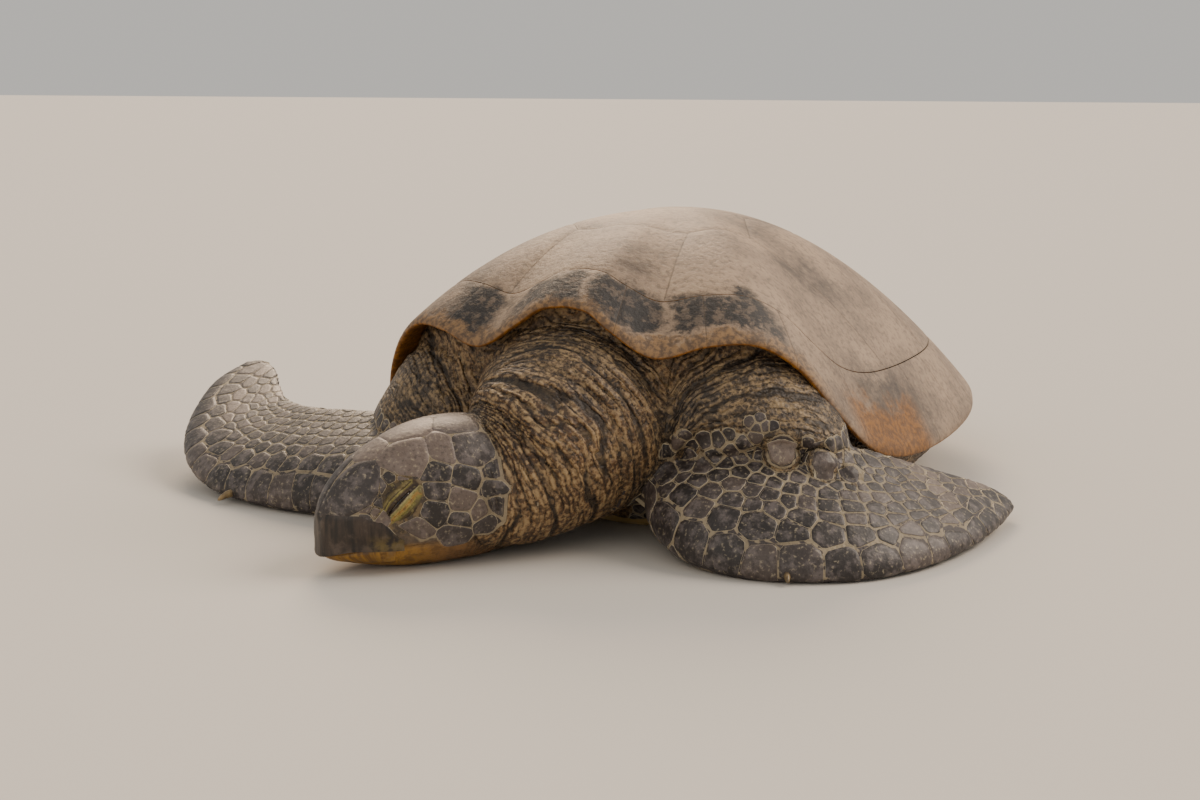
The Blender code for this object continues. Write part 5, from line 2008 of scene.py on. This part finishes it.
class Painter(NodeMaker):
    """Builds one material's node tree on a Principled surface."""

    def __init__(self, name: str, finish: Finish) -> None:
        """Starts the material with its plain values set."""
        self.made = bpy.data.materials.new(name)
        self.made.use_nodes = True
        super().__init__(self.made.node_tree)
        self.surface = self.tree.nodes["Principled BSDF"]
        self.surface.inputs["Roughness"].default_value = finish.roughness
        self.surface.inputs["Specular IOR Level"].default_value = finish.specular
        self.finish = finish
        self.place = self.node("ShaderNodeTexCoord").outputs["Object"]

    def colour(self, choice: int | str | Socket) -> tuple[float, ...] | Socket:
        """A colour: one of the finish's by number, a hex code's, or a socket's."""
        if isinstance(choice, int):
            choice = self.finish.colours[choice]
        return linear(choice) if isinstance(choice, str) else choice

    def reads(self, name: str, output: str = "Fac") -> Socket:
        """A number or vector stored on the mesh."""
        return self.node("ShaderNodeAttribute", attribute_name=name).outputs[output]

    def parts(self, vector: Socket) -> Sequence[Socket]:
        """The three numbers of a vector."""
        return self.node("ShaderNodeSeparateXYZ", {0: vector}).outputs

    def upward(self) -> Socket:
        """How far the surface faces up: 1 on top, -1 underneath."""
        return self.parts(self.node("ShaderNodeNewGeometry").outputs["Normal"])[2]

    def cloud(self, size: float, detail: float = 3.0, place: Socket | None = None,
              rough: float = 0.55, change: Socket | None = None) -> Socket:
        """Noise in blotches about size metres across.

        Args:
            size: The blotches' size.
            detail: How many finer layers it has.
            place: Where to read it, or None for the object's own space.
            rough: How strong the finer layers are.
            change: A value in metres that moves it through a fourth axis.

        Returns:
            The noise, from 0 to 1.
        """
        feed = {"Vector": self.place if place is None else place, "Scale": 0.5 / size,
                "Detail": detail, "Roughness": rough}
        if change is not None:
            feed["W"] = self.times(change, 2 * size)
        return self.node("ShaderNodeTexNoise", feed,
                         noise_dimensions="3D" if change is None else "4D").outputs[0]

    def step(self, value: Socket, low: float, high: float) -> Socket:
        """A smooth step of a value from 0 at low to 1 at high, which may be the smaller."""
        feed = {"Value": value, 1: low, 2: high, 3: 0.0, 4: 1.0}
        if low > high:
            feed = {"Value": value, 1: high, 2: low, 3: 1.0, 4: 0.0}
        return self.node("ShaderNodeMapRange", feed, interpolation_type="SMOOTHSTEP").outputs[0]

    def blend(self, share: Socket | float, first: int | str | Socket,
              second: int | str | Socket) -> Socket:
        """A colour between two, by share."""
        return self.node("ShaderNodeMix",
                         {0: share, 6: self.colour(first), 7: self.colour(second)},
                         data_type="RGBA").outputs[2]

    def layers(self, base: Socket, *rows: tuple) -> Socket:
        """Lays colours over a base one after another.

        Args:
            base: The colour beneath.
            rows: For each colour the value that it follows, where that value's step starts
                and ends, the most that it covers, and the colour.

        Returns:
            The colour on top.
        """
        for value, low, high, most, over in rows:
            base = self.blend(self.times(self.step(value, low, high), most), base, over)
        return base

    def ramp(self, value: Socket, stops: Sequence[tuple[float, str]]) -> Socket:
        """A colour read from stops, each a value and a hex colour."""
        made = self.node("ShaderNodeValToRGB", {0: value})
        while len(made.color_ramp.elements) < len(stops):
            made.color_ramp.elements.new(1.0)
        for element, (place, code) in zip(made.color_ramp.elements, stops):
            element.position, element.color = place, linear(code)
        return made.outputs[0]

    def stretched(self, place: Socket, scale: tuple[float, float, float]) -> Socket:
        """A place with its axes scaled."""
        return self.node("ShaderNodeVectorMath", {0: place, 1: scale},
                         operation="MULTIPLY").outputs[0]

    def cells(self, size: float, feature: str) -> Socket:
        """A pattern of cells about size metres across."""
        return self.node("ShaderNodeTexVoronoi", {"Vector": self.place, "Scale": 1 / size},
                         feature=feature).outputs[0]

    def finish_with(self, colour: Socket, *heights: tuple[Socket, float]) -> bpy.types.Material:
        """Ends the material.

        Args:
            colour: Its colour.
            heights: Pairs of a height from 0 to 1 and its depth in metres.

        Returns:
            The material.
        """
        self.tree.links.new(colour, self.surface.inputs["Base Color"])
        normal = None
        for height, depth in heights:
            feed = {"Height": height, "Distance": depth, "Strength": 1.0}
            if normal is not None:
                feed["Normal"] = normal
            normal = self.node("ShaderNodeBump", feed).outputs[0]
        if normal is not None:
            self.tree.links.new(normal, self.surface.inputs["Normal"])
        return self.made


def skin_material() -> bpy.types.Material:
    """Folded hide: cast in rubber from life and airbrushed, with painted shade in the creases."""
    p = Painter("turtle_skin", Surfacing.SKIN.value)
    run, level, head, scaled, arm = (p.reads(name) for name in (
        "run", "fold_level", "head_share", "scaled_share", "arm_run"))
    # Streaks lie along the folds: the noise changes fast along the limb and slowly round it.
    streak = p.cloud(0.010, 4.0, p.stretched(p.place, (0.4, 0.4, 0.4)), 0.6, p.times(run, 110.0))
    blotch, grit = p.cloud(0.028, 5.0, rough=0.62), p.cloud(0.0032, 3.0, rough=0.6)
    near_head = p.step(p.reads("neck_reach"), 0.125, 0.185)
    near_elbow = p.sums("MAXIMUM", p.step(arm, 0.10, 0.16),
                        p.step(p.reads("blade_share"), 0.12, 0.4))
    base = p.blend(p.step(blotch, 0.36, 0.66), 1, 2)
    base = p.blend(p.times(near_head, 0.5), base, "#7f5c38")
    base = p.blend(p.times(near_elbow, 0.75), base, "#4b433a")
    on_top = p.sums("MULTIPLY_ADD", p.step(arm, 0.06, 0.02), 0.45, 0.15)
    base = p.layers(base, (p.upward(), 0.10, 0.75, on_top, "#453c33"),
                    (streak, 0.50, 0.66, 0.35, 3), (streak, 0.49, 0.34, 0.35, 0))
    # Wrinkles ring the limbs and the neck: painted shade in their creases, painted highlight flecked
    # with pale dust on their crests.
    ring = p.sums("MULTIPLY_ADD", run, math.pi / 0.0058, p.times(p.cloud(0.020), 14.0))
    plain = p.sums("SUBTRACT", 1.0, p.sums("MAXIMUM", p.step(scaled, 0.3, 0.6),
                                           p.step(head, 0.5, 0.8)))
    wrinkle = p.times(p.sums("ABSOLUTE", p.sums("SINE", ring)), plain)
    # Painted shade: the wrinkles' creases are blended towards the darkest skin colour.
    base = p.blend(p.times(p.times(p.step(wrinkle, 0.45, 0.10), plain), 0.80), base, 0)
    # Painted highlight with pale dust flecks along the wrinkles' crests, strongest near the head.
    crest_highlight_and_dust = p.times(p.times(p.step(wrinkle, 0.62, 0.92), p.step(grit, 0.44, 0.55)),
                    p.sums("MULTIPLY_ADD", near_head, 0.50, 0.12))
    base = p.blend(crest_highlight_and_dust, base, 3)
    lines = p.times(p.step(p.cells(0.0050, "DISTANCE_TO_EDGE"), 0.16, 0.03),
                    p.step(blotch, 0.40, 0.55))
    base = p.blend(p.times(lines, 0.35), base, 3)
    # Grit specks and the head's colour; the last layer is painted shade in the valleys between the
    # folds, where the fold level is low.
    base = p.layers(base, (grit, 0.52, 0.60, 0.42, 3), (grit, 0.49, 0.41, 0.55, 0),
                    (head, 0.5, 0.9, 0.75, "#574d44"), (level, 0.12, -0.50, 0.85, 0))
    # Between scales the hide is pale; under them it is as dark as they are.
    covered = p.step(p.reads("under_scale"), 0.3, 0.6)
    pale = p.blend(p.step(blotch, 0.3, 0.7), "#786b56", 4)
    between = p.blend(covered, pale, Surfacing.SCALE.value.colours[1])
    base = p.blend(p.step(scaled, 0.35, 0.65), base, between)
    # Under the chin and jaw the hide turns ochre yellow.
    forward, _, low = p.parts(p.reads("head_place", "Vector"))
    chin = p.times(p.step(low, 0.038, 0.026), p.step(head, 0.4, 0.7))
    ochre = p.blend(p.step(forward, 0.10, 0.16), "#7d5930", Surfacing.JAW.value.colours[1])
    ochre = p.layers(ochre, (p.cloud(0.006, 4.0), 0.44, 0.60, 0.6, "#523817"))
    base = p.blend(p.times(chin, 0.9), base, ochre)
    # The lids' stripes follow the slit: dark at it (dark lid edges and painted shade), then yellow;
    # olive and brown above.
    angle = p.sums("MULTIPLY_ADD", p.cloud(0.006), 0.16,
                   p.sums("ADD", p.reads("lid_angle"), -0.08))
    stripes = p.ramp(p.sums("MULTIPLY_ADD", angle, 0.5, 0.5), (
        (0.00, "#33291c"), (0.13, "#3f3320"), (0.18, "#5f5930"), (0.25, "#827a3c"),
        (0.33, "#9c7638"), (0.39, "#827d48"), (0.43, "#9c946c"), (0.455, "#2d211b"),
        (0.595, "#33261f"), (0.62, "#5e5433"), (0.655, "#8d8349"), (0.685, "#31261a"),
        (0.715, "#7d7146"), (0.765, "#655932"), (0.80, "#2f261b"), (1.00, "#4a3d2a")))
    lids = p.layers(stripes, (grit, 0.50, 0.62, 0.55, "#4f4128"),
                    (grit, 0.44, 0.34, 0.35, "#a3975c"))
    brow = p.blend(p.step(grit, 0.4, 0.6), "#40362b", "#6f5d40")
    bare = p.sums("SUBTRACT", 1.0, covered)
    base = p.layers(base, (p.reads("lid_near"), 0.25, 0.6, bare, brow))
    colour = p.blend(p.step(p.reads("lid_share"), 0.35, 0.65), base, lids)
    pebble = p.cells(0.0035, "SMOOTH_F1")
    return p.finish_with(colour, (wrinkle, 0.0018), (streak, 0.0018), (pebble, -0.0010))


def scale_material() -> bpy.types.Material:
    """Scale horn: cast dark and dusted pale, so the crowns look dry and the edges stay pale."""
    p = Painter("scale_horn", Surfacing.SCALE.value)
    tone, mottle = p.reads("tone"), p.cloud(0.007, 4.0, rough=0.65)
    speck = p.cloud(0.0022, 3.0, rough=0.6)
    base = p.blend(p.step(tone, -0.9, 1.6), 0, 1)
    base = p.layers(base, (mottle, 0.44, 0.66, 0.60, 2), (tone, 0.4, 1.8, 0.65, "#78675b"),
                    (tone, 1.1, 2.2, 0.40, "#a5968a"), (speck, 0.56, 0.72, 0.40, 3),
                    (speck, 0.46, 0.34, 0.40, "#171413"), (p.reads("rise"), 0.78, 0.56, 0.9, 3))
    return p.finish_with(base, (speck, 0.0004), (mottle, 0.0008))


def shell_material() -> bpy.types.Material:
    """Shell horn: dry and dusty over dark slate, with faint growth lines round each plate."""
    p = Painter("shell_horn", Surfacing.SHELL.value)
    share, rho, _ = p.parts(p.reads("shell_place", "Vector"))
    broad, fine = p.cloud(0.055, 5.0, rough=0.62), p.cloud(0.0035, 4.0, rough=0.65)
    ragged = p.sums("MULTIPLY_ADD", p.cloud(0.022, 6.0, rough=0.72), 0.20, -0.10)
    outward = p.sums("ADD", rho, ragged)
    base = p.blend(p.step(broad, 0.34, 0.66), 1, 2)
    base = p.layers(base, (fine, 0.52, 0.36, 0.45, "#4a4137"), (fine, 0.54, 0.70, 0.40, "#a8987c"))
    # Slate shows through the dust in patches above the front edge.
    bare = p.ramp(p.sums("ADD", share, p.sums("MULTIPLY_ADD", ragged, 0.35, 0.5)), (
        (0.34, "#000000"), (0.37, "#ffffff"), (0.41, "#ffffff"), (0.43, "#000000"),
        (0.45, "#ffffff"), (0.505, "#ffffff"), (0.513, "#303030"), (0.522, "#ffffff"),
        (0.583, "#ffffff"), (0.592, "#303030"), (0.602, "#ffffff"), (0.69, "#ffffff"),
        (0.71, "#606060"), (0.76, "#606060"), (0.80, "#404040"), (0.83, "#d0d0d0"),
        (0.90, "#d0d0d0"), (0.93, "#101010")))
    # The patches stand higher above the edge between neck and arm.
    lift = p.times(p.step(p.sums("ABSOLUTE", p.sums("ADD", share, -0.12)), 0.09, 0.05), 0.025)
    raised = p.sums("ADD", outward, lift)
    band = p.times(p.step(raised, 0.825, 0.865), p.step(raised, 0.985, 0.955))
    worn_through = p.step(p.cloud(0.006, 4.0, rough=0.7), 0.40, 0.52)
    slate = p.times(p.times(bare, band), p.sums("MULTIPLY_ADD", worn_through, 0.30, 0.70))
    base = p.layers(p.blend(slate, base, 0), (broad, 0.42, 0.30, 0.5, 0),
                    (p.reads("from_seam"), 0.0016, 0.0003, 0.42, "#5c5044"))
    # Earth brown and then orange show along the edge, widest over the arm.
    earth = p.blend(p.step(fine, 0.40, 0.60), "#54402d", "#8a6a43")
    tan = p.times(p.step(outward, 0.945, 0.975), p.step(share, 0.27, 0.20))
    base = p.blend(p.times(tan, 0.85), base, earth)
    glow = p.times(p.step(outward, 0.88, 0.94),
                   p.step(p.sums("ABSOLUTE", p.sums("ADD", share, -0.35)), 0.09, 0.05))
    rim = p.times(p.step(rho, 0.985, 0.998), 0.25)
    below = p.step(p.upward(), 0.10, -0.35)
    orange = p.sums("MAXIMUM", p.times(glow, 0.92), p.sums("MAXIMUM", rim, below))
    rust = p.blend(p.step(fine, 0.4, 0.62), "#66400e", "#8f5c14")
    return p.finish_with(p.blend(orange, base, rust), (fine, 0.0014))


def belly_material() -> bpy.types.Material:
    """Belly horn: cast smooth in warm cream and hardly dusted, so it stays a little shiny."""
    p = Painter("belly_horn", Surfacing.BELLY.value)
    base = p.blend(p.step(p.cloud(0.05), 0.3, 0.7), 1, 2)
    base = p.blend(p.step(p.reads("from_seam"), 0.004, 0.0), base, 0)
    return p.finish_with(base, (p.cloud(0.004), 0.0003))


def beak_material(name: str, finish: Finish) -> bpy.types.Material:
    """Beak horn: scraped with strokes down to the biting edge before it was painted.

    Args:
        name: The material's name.
        finish: Its plain values.

    Returns:
        The material.
    """
    p = Painter(name, finish)
    grain = p.reads("grain", "Vector")
    round_it, height, from_rim = p.parts(grain)
    streak = p.cloud(0.0022, 4.0, p.stretched(grain, (1.0, 0.12, 0.0)))
    base = p.blend(p.step(streak, 0.36, 0.66), 0, 1)
    tinge = p.times(p.times(p.step(p.sums("ABSOLUTE", round_it), 0.040, 0.062),
                            p.step(height, 0.050, 0.034)),
                    p.step(p.cloud(0.004), 0.3, 0.6))
    base = p.blend(p.times(tinge, 0.8), base, 2)
    blot = p.cloud(0.008, 4.0, rough=0.65)
    base = p.layers(base, (blot, 0.50, 0.66, 0.5, "#5b4d44"), (blot, 0.46, 0.34, 0.5, 0))
    crown = p.times(p.step(from_rim, 0.0016, 0.0006), p.step(height, 0.044, 0.048))
    base = p.blend(p.times(crown, 0.7), base, "#a3967c")
    return p.finish_with(base, (streak, 0.0007))


def eye_material() -> bpy.types.Material:
    """Glass eye: a dark ball under a polished clear layer, which gives one sharp glint."""
    p = Painter("glass_eye", Surfacing.EYE.value)
    p.surface.inputs["Coat Weight"].default_value = 1.0
    angle = p.reads("off_axis")
    base = p.blend(p.step(angle, 0.34, 0.40), 0, 1)
    return p.finish_with(p.blend(p.step(angle, 0.75, 0.9), base, 2))


def claw_material() -> bpy.types.Material:
    """Claw horn: polished by hand, mottled dark and pale."""
    p = Painter("claw_horn", Surfacing.CLAW.value)
    return p.finish_with(p.blend(p.step(p.cloud(0.006), 0.35, 0.7), 0, 1))


# --------------------------------------------------------------- the studio
@dataclass
class Studio:
    """A pale floor, soft lights and the camera."""

    bearing: float = math.radians(24)
    distance: float = 2.36
    height: float = 0.52
    slide: float = -0.138
    pitch: float = math.radians(10.44)
    lens: float = 53.4
    floor: float = 30.0                      # half the floor's width

    @staticmethod
    def light(name: str, place: Vector, spread: float, power: float, code: str) -> None:
        """Adds a soft, even light from the direction of a place; spread is in degrees."""
        data = bpy.data.lights.new(name, "SUN")
        data.angle, data.energy, data.color = math.radians(spread), power, linear(code)[:3]
        made = add_object(name, data)
        made.location = place
        made.rotation_euler = (-place).to_track_quat("-Z", "Y").to_euler()

    def lay_floor(self) -> None:
        """Lays the matt floor."""
        corners = [(x * self.floor, y * self.floor, 0) for x, y in
                   ((-1, -1), (1, -1), (1, 1), (-1, 1))]
        paper = bpy.data.materials.new("studio_paper")
        paper.use_nodes = True
        surface = paper.node_tree.nodes["Principled BSDF"].inputs
        surface["Base Color"].default_value = linear("#cfcac2")
        surface["Roughness"].default_value = 0.9
        floor = painted(new_object("studio_floor", corners, [(0, 1, 2, 3)]), paper)

    def build(self) -> None:
        """Sets the floor, the lights, the surroundings and the camera."""
        self.lay_floor()
        right = Vector((math.cos(self.bearing), math.sin(self.bearing), 0.0))
        back = Vector((math.sin(self.bearing), -math.cos(self.bearing), 0.0))
        up = Vector((0.0, 0.0, 1.0))
        self.light("key", right * -0.15 - back * 2.0 + up * 1.2, 25, 2.4, "#ffe2c2")
        self.light("side", right * 2.0 - back * 0.4 + up * 1.7, 35, 2.45, "#ffeedd")
        self.light("front", back * 1.9 - right * 1.3 + up * 1.3, 50, 0.50, "#fff4e8")
        world = bpy.data.worlds.new("studio")
        world.use_nodes = True
        world.node_tree.nodes["Background"].inputs["Color"].default_value = linear("#dcd8d2")
        world.node_tree.nodes["Background"].inputs["Strength"].default_value = 0.82
        bpy.context.scene.world = world
        data = bpy.data.cameras.new("camera")
        data.lens, data.sensor_width = self.lens, 36
        camera = add_object("camera", data)
        aim = -back * math.cos(self.pitch) - up * math.sin(self.pitch)
        turn = Matrix((right, right.cross(aim), -aim)).transposed().to_4x4()
        turn.translation = (back * self.distance + right * self.slide + up * self.height
                            + Vector(SHIFT))
        camera.matrix_world = turn
        bpy.context.scene.camera = camera


# --------------------------------------------------------------- assembly
def handed_over(piece: bpy.types.Object, slot: str, *nodes: str) -> None:
    """Attaches a finished piece to the root body and hides the CAD solids it stands for.

    Args:
        piece: The piece.
        slot: The name of its material in the record; not used.
        nodes: The CAD solids that it stands for.
    """
    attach(piece, "root")
    if nodes:
        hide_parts(*nodes)
    LOG.info("%s: %d triangles", piece.name, triangle_count(piece.data))


def mark_covered(skin: bpy.types.Object, beds: Sequence[ScaleBed]) -> None:
    """Stores where scales cover the skin, so that it carries their markings.

    Args:
        skin: The skin.
        beds: The seeds of all scales.
    """
    neighbours = 16                          # seeds compared at each point of the skin
    slack = 0.0005                           # how far past its reach a scale still marks it
    border, rim = (0.0013, 0.0030), 0.003    # widths over which the markings start
    points, facing = corners_of(skin.data), normals_of(skin.data)
    covered, scaled = np.zeros((2, len(points)))
    for bed in beds:
        seeds = KDTree(len(bed.places))
        for k, place in enumerate(bed.places):
            seeds.insert(Vector(place), k)
        seeds.balance()
        reach = bed.radii.max() * 2.5
        low, high = bed.places.min(0) - reach, bed.places.max(0) + reach
        for k in np.flatnonzero(((points > low) & (points < high)).all(1)):
            near = seeds.find_n(Vector(points[k]), neighbours)
            power = sorted((far ** 2 - bed.radii[i] ** 2, i) for _, i, far in near
                           if bed.normals[i] @ facing[k] > 0)
            if len(power) < 2:
                continue
            (own, first), (next_best, second) = power[:2]
            apart = np.linalg.norm(bed.places[first] - bed.places[second])
            spread = bed.radii[first] * bed.stretch[first] * bed.reach[first]
            edge = spread - math.sqrt(max(0.0, own + bed.radii[first] ** 2))
            margin = min((next_best - own) / (2 * apart), max(edge, 0.0))
            if edge <= -slack:
                continue
            if bed.built[first]:
                covered[k] = max(covered[k], float(ease(*border, margin)))
                scaled[k] = 1.0
            elif bed.built[second]:
                scaled[k] = max(scaled[k], 1 - margin / rim)
    add_number(skin.data, "under_scale", covered)
    add_number(skin.data, "scaled_share", scaled)


FLESH = ("trunk", "neck", "tail", "head", *(
    f"{limb}_flipper_{side}_{part}" for limb, parts in (
        ("front", ("upper_arm", "blade")), ("rear", ("thigh", "foot")))
    for part in parts for side in ("left", "right")))


def scale_fields(skin: bpy.types.Object, surface: BVHTree) -> list[tuple]:
    """Plans all scales.

    Args:
        skin: The skin.
        surface: Its surface.

    Returns:
        For each field of scales its name, bed, style, and how often corners are cut.
    """
    head = HeadScales()
    fields = [("head_scales", head.bed(surface), head, 2)]
    small = {"size": 0.62, "height": 0.0009}
    for name, form, seed, extra in (
            ("left_flipper_scales", BLADE_LEFT, 3, {"cuff": 0.205, "knobs": KNOBS}),
            ("right_flipper_scales", BLADE_RIGHT, 4, {"cuff": 0.222}),
            ("left_foot_scales", FOOT_LEFT, 5, small),
            ("right_foot_scales", FOOT_RIGHT, 6, small)):
        style = BladeScales(form, seed=seed, **extra)
        fields.append((name, style.bed(surface, skin.data), style, 1))
    return fields


def beak_pieces(surface: BVHTree) -> None:
    """Makes the two halves of the beak and attaches them to the root body.

    Args:
        surface: The skin's surface.
    """
    beak = Sheath("beak_horn", low=lambda t: 0.0190 + 0.0085 * ease(0.0, 0.6, np.abs(t)),
                  high=lambda t: (0.0675 - 0.006 * ease(0.6, 0.95, np.abs(t))
                                  - 0.022 * ease(0.95, 1.42, np.abs(t))), reach=1.40)
    jaw = Sheath("jaw_horn", low=lambda t: 0.009 + 0.002 * np.abs(t),
                 high=lambda t: 0.0195 + 0.0085 * ease(0.0, 0.9, np.abs(t)), reach=1.25,
                 biting_edge_low=False, plumb_from=0.0)
    for sheath, surfacing, node in ((beak, Surfacing.BEAK, "beak_upper"),
                                    (jaw, Surfacing.JAW, "lower_jaw")):
        material = beak_material(sheath.name, surfacing.value)
        handed_over(painted(sheath.build(surface), material), "beak_and_claw_horn", node)


def main() -> None:
    """Builds and dresses every piece and attaches each to the root body."""
    logging.basicConfig(level=logging.INFO, format="%(message)s")
    skin_maker = Skin()
    skin = painted(skin_maker.build(), skin_material())
    fields = scale_fields(skin, skin_maker.tree)
    mark_covered(skin, [bed for _, bed, _, _ in fields])
    handed_over(skin, "folded_skin", *FLESH)
    horn, tree = scale_material(), ScaleTree()
    for name, bed, style, rounding in fields:
        cells = bed.cell_mesh(name, style.gap, rounding)
        handed_over(tree.raise_scales(bed, cells, skin, style.height, horn), "scaled_skin")
    shell = shell_material()
    for node, plate in Carapace().build().items():
        handed_over(painted(plate, shell), "shell_horn", node)
    handed_over(painted(Plastron().build(), belly_material()), "belly_horn", "plastron")
    beak_pieces(skin_maker.tree)
    glass, nail = eye_material(), claw_material()
    for word, side, base, tip in (
            ("left", 1, (0.286, -0.508, 0.009), (0.294, -0.526, 0.005)),
            ("right", -1, (-0.440, -0.456, 0.012), (-0.450, -0.474, 0.007))):
        ball = painted(eyeball(f"eyeball_{word}", side), glass)
        handed_over(ball, "eye_lid_skin", f"eye_{word}")
        nail_piece = painted(claw(f"claw_horn_{word}", base, tip), nail)
        handed_over(nail_piece, "beak_and_claw_horn", f"claw_{word}")
    Studio().build()
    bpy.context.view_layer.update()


if __name__ == "__main__":
    main()
